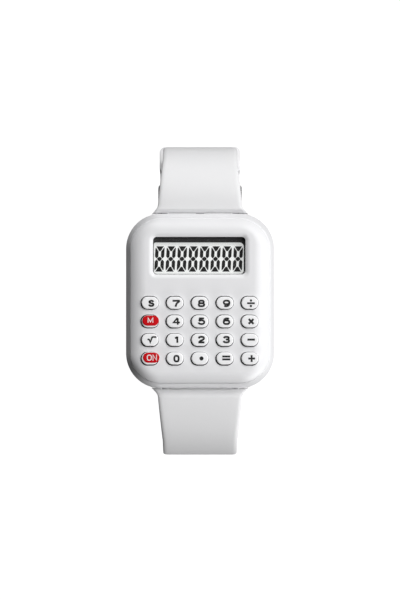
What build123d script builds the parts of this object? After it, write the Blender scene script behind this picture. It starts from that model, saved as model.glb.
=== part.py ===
from build123d import *
import os
from math import cos, sin, tan, radians

os.makedirs("parts", exist_ok=True)

# Calculator watch, in millimetres. The origin is the centre of the flat case back, +X points to
# three o'clock, +Y to twelve o'clock and +Z out of the dial. The strap is unbuckled and stands
# on its two ends, so the case is carried above the surface as on a wrist.

# Case, seen from the front and in depth
case_width = 40.0
case_length = 47.2
case_corner = 9.5
case_depth = 10.4
widest_z = 4.6
parting_z = 7.8
parting_inset = 1.4
back_inset = 2.7
widest_round = 0.8
back_round = 0.8
overrun = 20.0
quarter_turn = 90.0
single_row = 1
twelve_end = 1
six_end = -1

# Walls and the joint between the two shells
back_wall = 1.2
front_wall = 1.2
wall_gap = 3.5
lip_wall = 0.8
lip_depth = 0.9
lip_clearance = 0.1
seal_depth = 0.7
seal_clearance = 0.05

# Soft rolled edge of the front shell
roll_width = 3.7
roll_start_z = 8.1
roll_steps = 5

# Display opening and the parts stacked under it
display_side = 2.2
display_end = 2.3
window_side = 1.975
window_length = 10.0
window_corner = 1.0
window_x = -0.2
window_rise = 0.75
dish_width = 1.0
dish_depth = 0.25
lens_margin = 0.6
lens_thickness = 0.5
bezel_length = 12.9
bezel_corner = 1.2
bezel_thickness = 0.7
view_side = 0.295
view_length = 8.4
view_shift = -0.12
view_rise = 0.1
glass_side_inset = 0.3
glass_end_inset = 0.1
glass_thickness = 0.8
contact_ledge = 2.1
strip_thickness = 1.6
strip_inset = 0.3
strip_end_inset = 1.0
cushion_inset = 0.6

# Digits of the display
digit_count = 8
digit_side = 0.03
digit_gap = 0.7
digit_height = 6.67
digit_shift = -0.06
digit_drop = 0.19
digit_slant = 3.0
segment_thickness = 0.05
upright_shares = [(-1, 1), (-0.35, 0.755), (-0.35, 0.12), (-0.67, 0.024), (-1, 0.024)]
cap_shares = [(-0.8, 1), (0.8, 1), (0, 0.694)]
centre_shares = [(-0.54, 0), (0, 0.16), (0.54, 0), (0, -0.16)]

# Keys, in rows from the top of the keypad
key_names = [
    ["key_s", "key_7", "key_8", "key_9", "key_divide"],
    ["key_m", "key_4", "key_5", "key_6", "key_multiply"],
    ["key_root", "key_1", "key_2", "key_3", "key_minus"],
    ["key_on", "key_0", "key_point", "key_equals", "key_plus"],
]
keypad_side = 0.96
keypad_end = 3.2
keypad_gap = 3.76
key_column_gap = 2.145
key_row_gap = 1.68
key_end_flat = 0.02
key_clearance = 0.18
key_rise = 0.8
key_round = 0.5
key_flange_margin = 0.5
key_flange_thickness = 0.55
key_travel = 0.4
key_rest_gap = 0.05
plunger_radius = 1.0

# Rubber dome mat and its carbon pills
mat_clearance = 0.3
mat_top_margin = 1.06
mat_bottom_margin = 0.6
mat_thickness = 0.5
mat_corner = 3.0
dome_radius = 2.0
dome_top_radius = 1.5
dome_height = 1.75
dome_roof = 0.75
dome_bore_radius = 1.5
pill_radius = 1.0
pill_thickness = 0.3
contact_radius = 1.5
contact_thickness = 0.04

# Circuit board and what is soldered under it
board_top_z = 5.6
board_thickness = 0.8
board_clearance = 0.3
chip_width = 9.0
chip_length = 7.0
chip_height = 0.9
chip_corner = 2.0
chip_round = 0.5
chip_x = -4.0
chip_end = 7.5
crystal_radius = 0.95
crystal_length = 6.0
crystal_x = 7.0
crystal_end = 6.6
capacitor_width = 1.0
capacitor_length = 1.8
capacitor_height = 0.7
capacitor_pitch = 2.6
capacitor_count = 4
capacitor_x = 7.0
capacitor_end = 10.8

# Coin cell with its well, contacts, door and door screw
cell_radius = 10.0
cell_thickness = 3.2
cell_rim = 0.6
cell_step = 0.25
cell_end = 3.7
cell_gap = 0.1
well_clearance = 0.3
well_wall = 1.1
door_ledge = 1.4
door_flange = 0.6
door_clearance = 0.1
coin_slot_length = 10.0
coin_slot_width = 1.4
coin_slot_depth = 0.3
door_tab_reach = 3.1
door_tab_radius = 1.9
spring_length = 12.0
spring_width = 3.0
clip_width = 3.4
clip_thickness = 0.3
clip_foot = 2.4
clip_finger_drop = 1.3
clip_gap = 0.05

# Screws
case_screw_side = 5.5
case_screw_end = 0.9
case_boss_radius = 1.3
case_screw_radius = 0.6
case_screw_head_radius = 1.0
case_screw_head = 0.7
case_screw_length = 7.2
case_screw_recess = 0.2
board_screw_side = 2.1
board_screw_drop = 1.5
board_post_radius = 1.2
board_screw_radius = 0.5
board_screw_head_radius = 1.0
board_screw_head = 0.5
board_screw_length = 2.6
door_screw_head_radius = 0.95
door_screw_head = 0.3
door_screw_radius = 0.5
door_screw_length = 2.0
door_boss_height = 1.5
screw_clearance = 0.1
driver_slot = 0.25
driver_slot_depth = 0.2

# Spring bars and the ears that hold them
bar_offset = 2.6
bar_z = 3.3
bar_radius = 0.75
ear_inner = 8.7
ear_width = 1.6
ear_radius = 1.35
ear_neck = 1.0
ear_root = 2.4
bar_end_gap = 0.1
tip_radius = 0.4
tip_reach = 1.0
tip_clearance = 0.05

# Strap, in side view: root at the case, bend, long drop, and the tail's sweep to the surface
strap_thickness = 2.3
strap_width = 20.2
root_radius = 2.3
nose_round = 1.0
root_blend_angle = 40.0
strap_reach = 42.5
drop_radius = 112.0
buckle_drop_angle = 22.0
tail_drop_angle = 8.0
tail_flat = 15.0
tail_corner = 7.0
bore_clearance = 0.05
pocket_clearance = 0.2
pocket_roof = 1.6
pocket_back = 1.7

# Strap, seen from the front: flared root, then a taper down to the plain width
flare_half_width = 13.2
flare_length = 2.0
neck_half_width = 11.35
taper_end_y = 38.5

# Holes along the tail
hole_count = 7
hole_pitch = 6.5
hole_first = 18.0
hole_radius = 1.05

# Buckle, in its own plane: bar at the strap's end, frame pointing inwards
knuckle_radius = 2.0
frame_leg = 2.0
frame_gap = 0.3
frame_reach = 12.3
frame_heel = 1.5
frame_thickness = 2.0
frame_front = 2.2
pin_radius = 0.75
pin_clearance = 0.05
tongue_width = 2.4
tongue_slot_gap = 0.4
tongue_slot_depth = 5.5
tongue_thickness = 1.1
tongue_eye_wall = 0.7
tongue_overhang = 0.6
tongue_rest_z = 0.25
notch_gap = 0.1

# Strap loops on the buckle half
keeper_length = 5.0
keeper_wall = 1.2
keeper_side_gap = 0.3
keeper_face_gap = 0.2
keeper_room = 0.4
keeper_corner = 1.0
fixed_keeper_angle = 17.6
free_keeper_angle = 12.4


# Values that follow from the sizes above
inner_width = case_width - 2 * wall_gap
inner_length = case_length - 2 * wall_gap
inner_corner = case_corner - wall_gap
parting_width = case_width - 2 * parting_inset
parting_length = case_length - 2 * parting_inset
parting_corner = case_corner - parting_inset
lip_z = parting_z - lip_depth
rebate_z = lip_z - seal_depth
rebate_width = inner_width + 2 * lip_wall
rebate_length = inner_length + 2 * lip_wall
rebate_corner = inner_corner + lip_wall
front_inner_z = case_depth - front_wall
lens_z = front_inner_z - lens_thickness
bezel_z = lens_z - bezel_thickness
front_glass_z = bezel_z - glass_thickness
rear_glass_top_z = front_glass_z - segment_thickness
rear_glass_z = rear_glass_top_z - glass_thickness
board_z = board_top_z - board_thickness
dome_top_z = board_top_z + dome_height
plunger_z = dome_top_z + key_travel + key_rest_gap
flange_top_z = front_inner_z - key_rest_gap
flange_z = flange_top_z - key_flange_thickness
key_top_z = case_depth + key_rise
cell_z = back_wall + cell_gap
cell_top_z = cell_z + cell_thickness
well_radius = cell_radius + well_clearance
cell_y = cell_end + well_wall + well_radius - inner_length / 2
door_tab_y = cell_y + well_radius + door_tab_reach
bezel_width = inner_width - 2 * display_side
bezel_y = inner_length / 2 - display_end - bezel_length / 2
bezel_bottom_y = bezel_y - bezel_length / 2
window_width = bezel_width - 2 * window_side
window_y = bezel_y + window_rise
view_width = window_width - 2 * view_side
view_x = window_x + view_shift
view_y = bezel_y + view_rise
glass_width = bezel_width - 2 * glass_side_inset
glass_length = bezel_length - 2 * glass_end_inset
digit_pitch = (view_width - 2 * digit_side) / digit_count
digit_width = digit_pitch - digit_gap
digit_x = view_x + digit_shift
digit_y = view_y - digit_drop
bar_y = case_length / 2 + bar_offset
ear_outer = ear_inner + ear_width
root_top_z = bar_z + root_radius
bend_radius = strap_reach - bar_y
bend_z = root_top_z - bend_radius
middle_radius = drop_radius - strap_thickness / 2
row_count = len(key_names)
column_count = len(key_names[0])
keypad_top_y = bezel_bottom_y - keypad_gap
keypad_bottom_y = keypad_end - inner_length / 2
key_length = (inner_width - 2 * keypad_side - (column_count - 1) * key_column_gap) / column_count
key_width = (keypad_top_y - keypad_bottom_y - (row_count - 1) * key_row_gap) / row_count
key_corner = min(key_length, key_width) / 2 - key_end_flat
key_column_pitch = key_length + key_column_gap
key_row_pitch = key_width + key_row_gap
key_spots = [
    (name, (column - (column_count - 1) / 2) * key_column_pitch,
     keypad_top_y - key_width / 2 - line * key_row_pitch)
    for line, row in enumerate(key_names) for column, name in enumerate(row)
]
key_places = [(x, y) for name, x, y in key_spots]
mat_top_y = keypad_top_y + mat_top_margin
mat_bottom_y = keypad_bottom_y - mat_bottom_margin
mat_width = inner_width - 2 * mat_clearance
case_screw_x = inner_width / 2 - case_screw_side
case_screw_y = inner_length / 2 - case_screw_end
case_screw_places = [(x, y) for x in (-case_screw_x, case_screw_x)
                     for y in (-case_screw_y, case_screw_y)]
board_screw_x = inner_width / 2 - board_screw_side
board_screw_y = bezel_bottom_y - board_screw_drop
board_screw_places = [(-board_screw_x, board_screw_y), (board_screw_x, board_screw_y)]


def on_drop(angle, radius):
    """The (y, z) point on the long drop of the strap, at an angle below its start."""
    return (strap_reach - drop_radius + radius * cos(radians(angle)),
            bend_z - radius * sin(radians(angle)))


pin_y, pin_z = on_drop(buckle_drop_angle, middle_radius)
surface_z = pin_z - knuckle_radius
sweep_start_y, sweep_start_z = on_drop(tail_drop_angle, drop_radius)
sweep_radius = (sweep_start_z - surface_z) / (1 - sin(radians(tail_drop_angle)))
sweep_end_y = sweep_start_y - sweep_radius * cos(radians(tail_drop_angle))
sweep_z = surface_z + sweep_radius


def save(part, name):
    """Label a finished piece and write it to its own file."""
    part.label = name
    export_step(part, f"parts/{name}.step")


# Rear shell: tub with the case back, sloped sides, battery well, bosses and strap ears
with BuildPart() as rear_shell:
    with BuildSketch():
        RectangleRounded(case_width - 2 * back_inset, case_length - 2 * back_inset,
                         case_corner - back_inset)
    with BuildSketch(Plane.XY.offset(widest_z)):
        RectangleRounded(case_width, case_length, case_corner)
    loft(ruled=True)
    with BuildSketch(Plane.XY.offset(widest_z)):
        RectangleRounded(case_width, case_length, case_corner)
    with BuildSketch(Plane.XY.offset(parting_z)):
        RectangleRounded(parting_width, parting_length, parting_corner)
    loft(ruled=True)
    fillet(rear_shell.edges().group_by(Axis.Z)[2], radius=widest_round)
    fillet(rear_shell.edges().group_by(Axis.Z)[0], radius=back_round)
    with BuildSketch(Plane.XY.offset(back_wall)):
        RectangleRounded(inner_width, inner_length, inner_corner)
    extrude(amount=overrun, mode=Mode.SUBTRACT)
    with BuildSketch(Plane.XY.offset(rebate_z)):
        RectangleRounded(rebate_width, rebate_length, rebate_corner)
    extrude(amount=overrun, mode=Mode.SUBTRACT)
    with BuildSketch(Plane.XY.offset(back_wall)):
        with Locations((0, cell_y)):
            Circle(well_radius + well_wall)
    extrude(amount=board_z - board_clearance - back_wall)
    with BuildSketch(Plane.XY.offset(back_wall)):
        with Locations(case_screw_places):
            Circle(case_boss_radius)
    extrude(amount=rebate_z - back_wall)
    with BuildSketch(Plane.XY.offset(back_wall)):
        with Locations(board_screw_places):
            Circle(board_post_radius)
    extrude(amount=board_z - back_wall)
    with BuildSketch(Plane.XY.offset(back_wall)):
        with Locations((0, door_tab_y)):
            Circle(board_post_radius)
    extrude(amount=door_boss_height)
    for ear_x in (ear_inner, -ear_outer):
        for end in (1, -1):
            with BuildSketch(Plane.YZ.offset(ear_x)):
                with Locations((end * (bar_y - (bar_offset + ear_root) / 2), bar_z)):
                    Rectangle(bar_offset + ear_root, 2 * ear_neck)
                with Locations((end * bar_y, bar_z)):
                    Circle(ear_radius)
            extrude(amount=ear_width)
    with BuildSketch(Plane.YZ.offset(-ear_inner - tip_reach - bar_end_gap)):
        with Locations((bar_y, bar_z), (-bar_y, bar_z)):
            Circle(tip_radius + tip_clearance)
    extrude(amount=2 * (ear_inner + tip_reach + bar_end_gap), mode=Mode.SUBTRACT)
    with BuildSketch():
        with Locations((0, cell_y)):
            Circle(well_radius)
    extrude(amount=overrun, mode=Mode.SUBTRACT)
    with BuildSketch():
        with Locations((0, cell_y)):
            Circle(well_radius + door_ledge)
        with Locations((0, (cell_y + door_tab_y) / 2)):
            SlotCenterToCenter(door_tab_y - cell_y, 2 * (door_tab_radius + door_clearance),
                               rotation=quarter_turn)
    extrude(amount=door_flange, mode=Mode.SUBTRACT)
    with BuildSketch(Plane.XY.offset(back_wall)):
        with Locations((0, cell_y - well_radius - well_wall / 2)):
            Rectangle(clip_width + 2 * well_clearance, 2 * well_wall)
    extrude(amount=overrun, mode=Mode.SUBTRACT)
    with BuildSketch():
        with Locations(case_screw_places):
            Circle(case_screw_head_radius + screw_clearance)
    extrude(amount=case_screw_recess + case_screw_head, mode=Mode.SUBTRACT)
    with BuildSketch():
        with Locations(case_screw_places):
            Circle(case_screw_radius + screw_clearance)
    extrude(amount=overrun, mode=Mode.SUBTRACT)
    with BuildSketch(Plane.XY.offset(board_z)):
        with Locations(board_screw_places):
            Circle(board_screw_radius + screw_clearance / 2)
    extrude(amount=-board_screw_length, mode=Mode.SUBTRACT)
    with BuildSketch():
        with Locations((0, door_tab_y)):
            Circle(door_screw_radius + screw_clearance / 2)
    extrude(amount=door_flange + door_screw_length, mode=Mode.SUBTRACT)
save(rear_shell.part, "rear_shell")


def key_outline(margin=0):
    """The pill outline of a key cap, or of what goes round it with a margin."""
    RectangleRounded(key_length + 2 * margin, key_width + 2 * margin, key_corner + margin)


# Front shell: dial face with its soft rolled edge, display opening, key holes, lip and bosses
with BuildPart() as front_shell:
    with BuildSketch(Plane.XY.offset(parting_z)):
        RectangleRounded(parting_width, parting_length, parting_corner)
    extrude(amount=roll_start_z - parting_z)
    for step in range(roll_steps + 1):
        turn = radians(quarter_turn * step / roll_steps)
        inset = roll_width * (1 - cos(turn))
        rise = (case_depth - roll_start_z) * sin(turn)
        with BuildSketch(Plane.XY.offset(roll_start_z + rise)):
            RectangleRounded(parting_width - 2 * inset, parting_length - 2 * inset,
                             parting_corner - inset)
    loft()
    with BuildSketch(Plane.XY.offset(parting_z)):
        RectangleRounded(inner_width, inner_length, inner_corner)
    extrude(amount=front_inner_z - parting_z, mode=Mode.SUBTRACT)
    with BuildSketch(Plane.XY.offset(lip_z)):
        RectangleRounded(rebate_width - 2 * lip_clearance, rebate_length - 2 * lip_clearance,
                         rebate_corner - lip_clearance)
        RectangleRounded(inner_width, inner_length, inner_corner, mode=Mode.SUBTRACT)
    extrude(amount=lip_depth)
    with BuildSketch(Plane.XY.offset(lip_z)):
        with Locations(case_screw_places):
            Circle(case_boss_radius)
    extrude(amount=front_inner_z - lip_z)
    with BuildSketch(Plane.XY.offset(front_inner_z)):
        with Locations((window_x, window_y)):
            RectangleRounded(window_width, window_length, window_corner)
    extrude(amount=overrun, mode=Mode.SUBTRACT)
    with BuildSketch(Plane.XY.offset(case_depth - dish_depth)):
        with Locations((window_x, window_y)):
            RectangleRounded(window_width, window_length, window_corner)
    with BuildSketch(Plane.XY.offset(case_depth)):
        with Locations((window_x, window_y)):
            RectangleRounded(window_width + 2 * dish_width, window_length + 2 * dish_width,
                             window_corner + dish_width)
    loft(ruled=True, mode=Mode.SUBTRACT)
    with BuildSketch(Plane.XY.offset(front_inner_z)):
        with Locations(key_places):
            key_outline(key_clearance)
    extrude(amount=overrun, mode=Mode.SUBTRACT)
    with BuildSketch():
        with Locations(case_screw_places):
            Circle(case_screw_radius + screw_clearance)
    extrude(amount=case_screw_recess + case_screw_head + case_screw_length + screw_clearance,
            mode=Mode.SUBTRACT)
save(front_shell.part, "front_shell")

# Seal squeezed between the lip of the front shell and the rebate of the rear shell
with BuildPart() as case_seal:
    with BuildSketch(Plane.XY.offset(rebate_z)):
        RectangleRounded(rebate_width - 2 * seal_clearance, rebate_length - 2 * seal_clearance,
                         rebate_corner - seal_clearance)
        RectangleRounded(inner_width, inner_length, inner_corner, mode=Mode.SUBTRACT)
    extrude(amount=seal_depth)
save(case_seal.part, "case_seal")

# Clear window behind the display opening
with BuildPart() as display_window:
    with BuildSketch(Plane.XY.offset(lens_z)):
        with Locations((window_x, window_y)):
            RectangleRounded(window_width + 2 * lens_margin, window_length + 2 * lens_margin,
                             window_corner + lens_margin)
    extrude(amount=lens_thickness)
save(display_window.part, "display_window")

# Black frame round the visible part of the display
with BuildPart() as display_bezel:
    with BuildSketch(Plane.XY.offset(bezel_z)):
        with Locations((window_x, bezel_y)):
            RectangleRounded(bezel_width, bezel_length, bezel_corner)
        with Locations((view_x, view_y)):
            RectangleRounded(view_width, view_length, window_corner, mode=Mode.SUBTRACT)
    extrude(amount=bezel_thickness)
save(display_bezel.part, "display_bezel")

# Display glasses: the front one overhangs the rear one by the contact ledge
with BuildPart() as lcd_front_glass:
    with BuildSketch(Plane.XY.offset(front_glass_z)):
        with Locations((window_x, bezel_y)):
            Rectangle(glass_width, glass_length)
    extrude(amount=glass_thickness)
save(lcd_front_glass.part, "lcd_front_glass")

with BuildPart() as lcd_rear_glass:
    with BuildSketch(Plane.XY.offset(rear_glass_z)):
        with Locations((window_x, bezel_y + contact_ledge / 2)):
            Rectangle(glass_width, glass_length - contact_ledge)
    extrude(amount=glass_thickness)
save(lcd_rear_glass.part, "lcd_rear_glass")


def digit_points(shares, flip_x=1, flip_y=1):
    """Corners of one display segment about its digit's centre, leaning with the digit."""
    corners = [(flip_x * x * digit_width / 2, flip_y * y * digit_height / 2) for x, y in shares]
    return [(x + y * tan(radians(digit_slant)), y) for x, y in corners]


# Display segments, a thin film between the two glasses
with BuildPart() as lcd_segments:
    with BuildSketch(Plane.XY.offset(rear_glass_top_z)):
        with Locations((digit_x, digit_y)):
            with GridLocations(digit_pitch, 0, digit_count, single_row):
                Polygon(*digit_points(centre_shares), align=None)
                for flip_y in (1, -1):
                    Polygon(*digit_points(cap_shares, flip_y=flip_y), align=None)
                    for flip_x in (1, -1):
                        Polygon(*digit_points(upright_shares, flip_x, flip_y), align=None)
    extrude(amount=segment_thickness)
save(lcd_segments.part, "lcd_segments")

# Foam between the display and the board
with BuildPart() as lcd_cushion:
    with BuildSketch(Plane.XY.offset(board_top_z)):
        with Locations((window_x, bezel_y + contact_ledge / 2)):
            Rectangle(glass_width - 2 * cushion_inset,
                      glass_length - contact_ledge - 2 * cushion_inset)
    extrude(amount=rear_glass_z - board_top_z)
save(lcd_cushion.part, "lcd_cushion")

# Conductive rubber strip from the board up to the ledge of the front glass
with BuildPart() as zebra_strip:
    with BuildSketch(Plane.XY.offset(board_top_z)):
        with Locations((window_x, bezel_y - glass_length / 2 + strip_inset + strip_thickness / 2)):
            Rectangle(glass_width - 2 * strip_end_inset, strip_thickness)
    extrude(amount=front_glass_z - board_top_z)
save(zebra_strip.part, "zebra_strip")

# Circuit board, notched round the case bosses
with BuildPart() as circuit_board:
    with BuildSketch(Plane.XY.offset(board_z)):
        RectangleRounded(inner_width - 2 * board_clearance, inner_length - 2 * board_clearance,
                         inner_corner - board_clearance)
        with Locations(case_screw_places):
            Circle(case_boss_radius + board_clearance, mode=Mode.SUBTRACT)
            Rectangle(2 * (case_boss_radius + board_clearance),
                      2 * (inner_length / 2 - case_screw_y), mode=Mode.SUBTRACT)
        with Locations(board_screw_places):
            Circle(board_screw_radius + screw_clearance, mode=Mode.SUBTRACT)
    extrude(amount=board_thickness)
save(circuit_board.part, "circuit_board")

# Carbon contacts under the keys
with BuildPart() as board_contacts:
    with BuildSketch(Plane.XY.offset(board_top_z)):
        with Locations(key_places):
            Circle(contact_radius - key_rest_gap)
    extrude(amount=contact_thickness)
save(board_contacts.part, "board_contacts")

# Rubber mat with one dome under each key
with BuildPart() as key_mat:
    with BuildSketch(Plane.XY.offset(board_top_z)):
        with Locations((0, (mat_top_y + mat_bottom_y) / 2)):
            RectangleRounded(mat_width, mat_top_y - mat_bottom_y, mat_corner)
    extrude(amount=mat_thickness)
    with Locations([Pos(x, y, board_top_z) for x, y in key_places]):
        Cone(dome_radius, dome_top_radius, dome_height,
             align=(Align.CENTER, Align.CENTER, Align.MIN))
    with BuildSketch(Plane.XY.offset(board_top_z)):
        with Locations(key_places):
            Circle(dome_bore_radius)
    extrude(amount=dome_height - dome_roof, mode=Mode.SUBTRACT)
save(key_mat.part, "key_mat")

# Carbon pills on the roofs of the domes
with BuildPart() as dome_pills:
    with BuildSketch(Plane.XY.offset(dome_top_z - dome_roof)):
        with Locations(key_places):
            Circle(pill_radius)
    extrude(amount=-pill_thickness)
save(dome_pills.part, "dome_pills")

# Keys: pill caps on a flange that stops under the front wall, with a plunger over the dome
for key_name, key_x, key_y in key_spots:
    with BuildPart() as key:
        with BuildSketch(Plane.XY.offset(flange_z)):
            with Locations((key_x, key_y)):
                key_outline()
        extrude(amount=key_top_z - flange_z)
        fillet(key.edges().group_by(Axis.Z)[-1], radius=key_round)
        with BuildSketch(Plane.XY.offset(flange_z)):
            with Locations((key_x, key_y)):
                key_outline(key_flange_margin)
        extrude(amount=key_flange_thickness)
        with BuildSketch(Plane.XY.offset(plunger_z)):
            with Locations((key_x, key_y)):
                Circle(plunger_radius)
        extrude(amount=flange_z - plunger_z)
    save(key.part, key_name)

# Epoxy cover over the chip, under the board
with BuildPart() as chip_cover:
    with BuildSketch(Plane.XY.offset(board_z)):
        with Locations((chip_x, inner_length / 2 - chip_end)):
            RectangleRounded(chip_width, chip_length, chip_corner)
    extrude(amount=-chip_height)
    fillet(chip_cover.edges().group_by(Axis.Z)[0], radius=chip_round)
save(chip_cover.part, "chip_cover")

# Timing crystal can, lying under the board
with BuildPart() as timing_crystal:
    with BuildSketch(Plane.YZ.offset(crystal_x - crystal_length / 2)):
        with Locations((inner_length / 2 - crystal_end, board_z - crystal_radius)):
            Circle(crystal_radius)
    extrude(amount=crystal_length)
save(timing_crystal.part, "timing_crystal")

# Row of small capacitors under the board
with BuildPart() as board_capacitors:
    with BuildSketch(Plane.XY.offset(board_z)):
        with Locations((capacitor_x, inner_length / 2 - capacitor_end)):
            with GridLocations(capacitor_pitch, 0, capacitor_count, single_row):
                Rectangle(capacitor_width, capacitor_length)
    extrude(amount=-capacitor_height)
save(board_capacitors.part, "board_capacitors")

# Coin cell with its stepped rim
with BuildPart() as coin_cell:
    with BuildSketch(Plane.XY.offset(cell_z)):
        with Locations((0, cell_y)):
            Circle(cell_radius)
    extrude(amount=cell_thickness - cell_step)
    with BuildSketch(Plane.XY.offset(cell_top_z - cell_step)):
        with Locations((0, cell_y)):
            Circle(cell_radius - cell_rim)
    extrude(amount=cell_step)
save(coin_cell.part, "coin_cell")

# Flat spring contact between the cell and the board
with BuildPart() as battery_spring:
    with BuildSketch(Plane.XY.offset(cell_top_z)):
        with Locations((0, cell_y)):
            SlotOverall(spring_length, spring_width)
            SlotOverall(spring_length, spring_width, rotation=quarter_turn)
    extrude(amount=board_z - cell_top_z)
save(battery_spring.part, "battery_spring")

# End clip: foot under the board, leg down beside the cell, finger towards its rim
with BuildPart() as battery_clip:
    with BuildSketch(Plane.YZ.offset(-clip_width / 2)):
        clip_face = cell_y - cell_radius - clip_gap
        clip_leg = cell_y - well_radius - well_wall / 2
        finger_z = board_z - clip_finger_drop
        with BuildLine():
            Polyline((clip_leg - clip_foot, board_z), (clip_leg + clip_thickness, board_z),
                     (clip_leg + clip_thickness, finger_z + clip_thickness),
                     (clip_face, finger_z + clip_thickness), (clip_face, finger_z),
                     (clip_leg, finger_z), (clip_leg, board_z - clip_thickness),
                     (clip_leg - clip_foot, board_z - clip_thickness), close=True)
        make_face()
    extrude(amount=clip_width)
save(battery_clip.part, "battery_clip")

# Battery door, flush with the case back, with a coin slot and a screw tab
with BuildPart() as battery_door:
    with BuildSketch():
        with Locations((0, cell_y)):
            Circle(well_radius + door_ledge - door_clearance)
        with Locations((0, (cell_y + door_tab_y) / 2)):
            SlotCenterToCenter(door_tab_y - cell_y, 2 * door_tab_radius, rotation=quarter_turn)
    extrude(amount=door_flange)
    with BuildSketch(Plane.XY.offset(door_flange)):
        with Locations((0, cell_y)):
            Circle(well_radius - door_clearance)
    extrude(amount=back_wall - door_flange)
    with BuildSketch():
        with Locations((0, cell_y)):
            SlotOverall(coin_slot_length, coin_slot_width)
    extrude(amount=coin_slot_depth, mode=Mode.SUBTRACT)
    with BuildSketch():
        with Locations((0, door_tab_y)):
            Circle(door_screw_head_radius + screw_clearance)
    extrude(amount=door_screw_head, mode=Mode.SUBTRACT)
    with BuildSketch():
        with Locations((0, door_tab_y)):
            Circle(door_screw_radius + screw_clearance)
    extrude(amount=door_flange, mode=Mode.SUBTRACT)
save(battery_door.part, "battery_door")


def driver_slots(places, z, radius, depth):
    """The cutters for a driver slot across each screw head at these places."""
    with BuildPart() as cutters:
        with BuildSketch(Plane.XY.offset(z)):
            with Locations(places):
                Rectangle(2 * radius, driver_slot)
        extrude(amount=depth)
    return cutters.part


# Four case screws, from the back into the bosses of the front shell
with BuildPart() as case_screws:
    with BuildSketch(Plane.XY.offset(case_screw_recess)):
        with Locations(case_screw_places):
            Circle(case_screw_head_radius)
    extrude(amount=case_screw_head)
    with BuildSketch(Plane.XY.offset(case_screw_recess + case_screw_head)):
        with Locations(case_screw_places):
            Circle(case_screw_radius)
    extrude(amount=case_screw_length - case_screw_recess)
    add(driver_slots(case_screw_places, case_screw_recess, case_screw_head_radius,
                     driver_slot_depth), mode=Mode.SUBTRACT)
save(case_screws.part, "case_screws")

# Two screws that hold the board on its posts
with BuildPart() as board_screws:
    with BuildSketch(Plane.XY.offset(board_top_z)):
        with Locations(board_screw_places):
            Circle(board_screw_head_radius)
    extrude(amount=board_screw_head)
    with BuildSketch(Plane.XY.offset(board_top_z)):
        with Locations(board_screw_places):
            Circle(board_screw_radius)
    extrude(amount=-board_screw_length)
    add(driver_slots(board_screw_places, board_top_z + board_screw_head, board_screw_head_radius,
                     -driver_slot_depth), mode=Mode.SUBTRACT)
save(board_screws.part, "board_screws")

# Screw of the battery door
with BuildPart() as battery_door_screw:
    with BuildSketch(Plane.XY.offset(screw_clearance / 2)):
        with Locations((0, door_tab_y)):
            Circle(door_screw_head_radius)
    extrude(amount=door_screw_head - screw_clearance / 2)
    with BuildSketch(Plane.XY.offset(door_screw_head)):
        with Locations((0, door_tab_y)):
            Circle(door_screw_radius)
    extrude(amount=door_screw_length)
    add(driver_slots([(0, door_tab_y)], screw_clearance / 2, door_screw_head_radius,
                     driver_slot_depth), mode=Mode.SUBTRACT)
save(battery_door_screw.part, "battery_door_screw")

# Spring bars between the ears, and the sprung tips at their ends
for bar_name, end in (("spring_bar_upper", 1), ("spring_bar_lower", -1)):
    with BuildPart() as spring_bar:
        with BuildSketch(Plane.YZ.offset(-ear_inner + bar_end_gap)):
            with Locations((end * bar_y, bar_z)):
                Circle(bar_radius)
        extrude(amount=2 * (ear_inner - bar_end_gap))
    save(spring_bar.part, bar_name)

with BuildPart() as spring_bar_tips:
    for tip_x in (ear_inner - bar_end_gap, -ear_inner - tip_reach):
        with BuildSketch(Plane.YZ.offset(tip_x)):
            with Locations((bar_y, bar_z), (-bar_y, bar_z)):
                Circle(tip_radius)
        extrude(amount=tip_reach + bar_end_gap)
save(spring_bar_tips.part, "spring_bar_tips")


def strap_root():
    """Side outline of the strap's root at twelve o'clock: knuckle, square nose and blend."""
    blend = radians(root_blend_angle)
    inner_bend = bend_radius - strap_thickness
    blend_point = (bar_y + inner_bend * sin(blend), bend_z + inner_bend * cos(blend))
    with Locations((bar_y, bar_z)):
        Circle(root_radius)
    with Locations((bar_y, bar_z + nose_round / 2)):
        RectangleRounded(2 * root_radius, 2 * root_radius - nose_round, nose_round)
    Polygon((bar_y, bar_z - root_radius), blend_point, (blend_point[0], bar_z),
            (bar_y, bar_z), align=None)


def strap_plan(end):
    """The space inside the strap's outline as seen from the front, and below its bend."""
    nose_y = bar_y - root_radius
    near_y = nose_y - overrun
    far_y = strap_reach + overrun
    with BuildPart() as keep:
        with BuildSketch(Plane.XY.offset(bend_z)):
            with BuildLine():
                for side in (1, -1):
                    flare = ThreePointArc(
                        (side * flare_half_width, end * nose_y),
                        (side * (neck_half_width + (flare_half_width - neck_half_width) / 4),
                         end * (nose_y + flare_length / 2)),
                        (side * neck_half_width, end * (nose_y + flare_length)))
                    Line(flare @ 0, (side * flare_half_width, end * near_y))
                    Polyline(flare @ 1, (side * strap_width / 2, end * taper_end_y),
                             (side * strap_width / 2, end * far_y))
                Line((flare_half_width, end * near_y), (-flare_half_width, end * near_y))
                Line((strap_width / 2, end * far_y), (-strap_width / 2, end * far_y))
            make_face()
        extrude(amount=bend_radius + overrun)
        with BuildSketch(Plane.XY.offset(bend_z)):
            Rectangle(strap_width, 2 * far_y)
        extrude(amount=surface_z - bend_z - overrun)
    return keep.part


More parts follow.
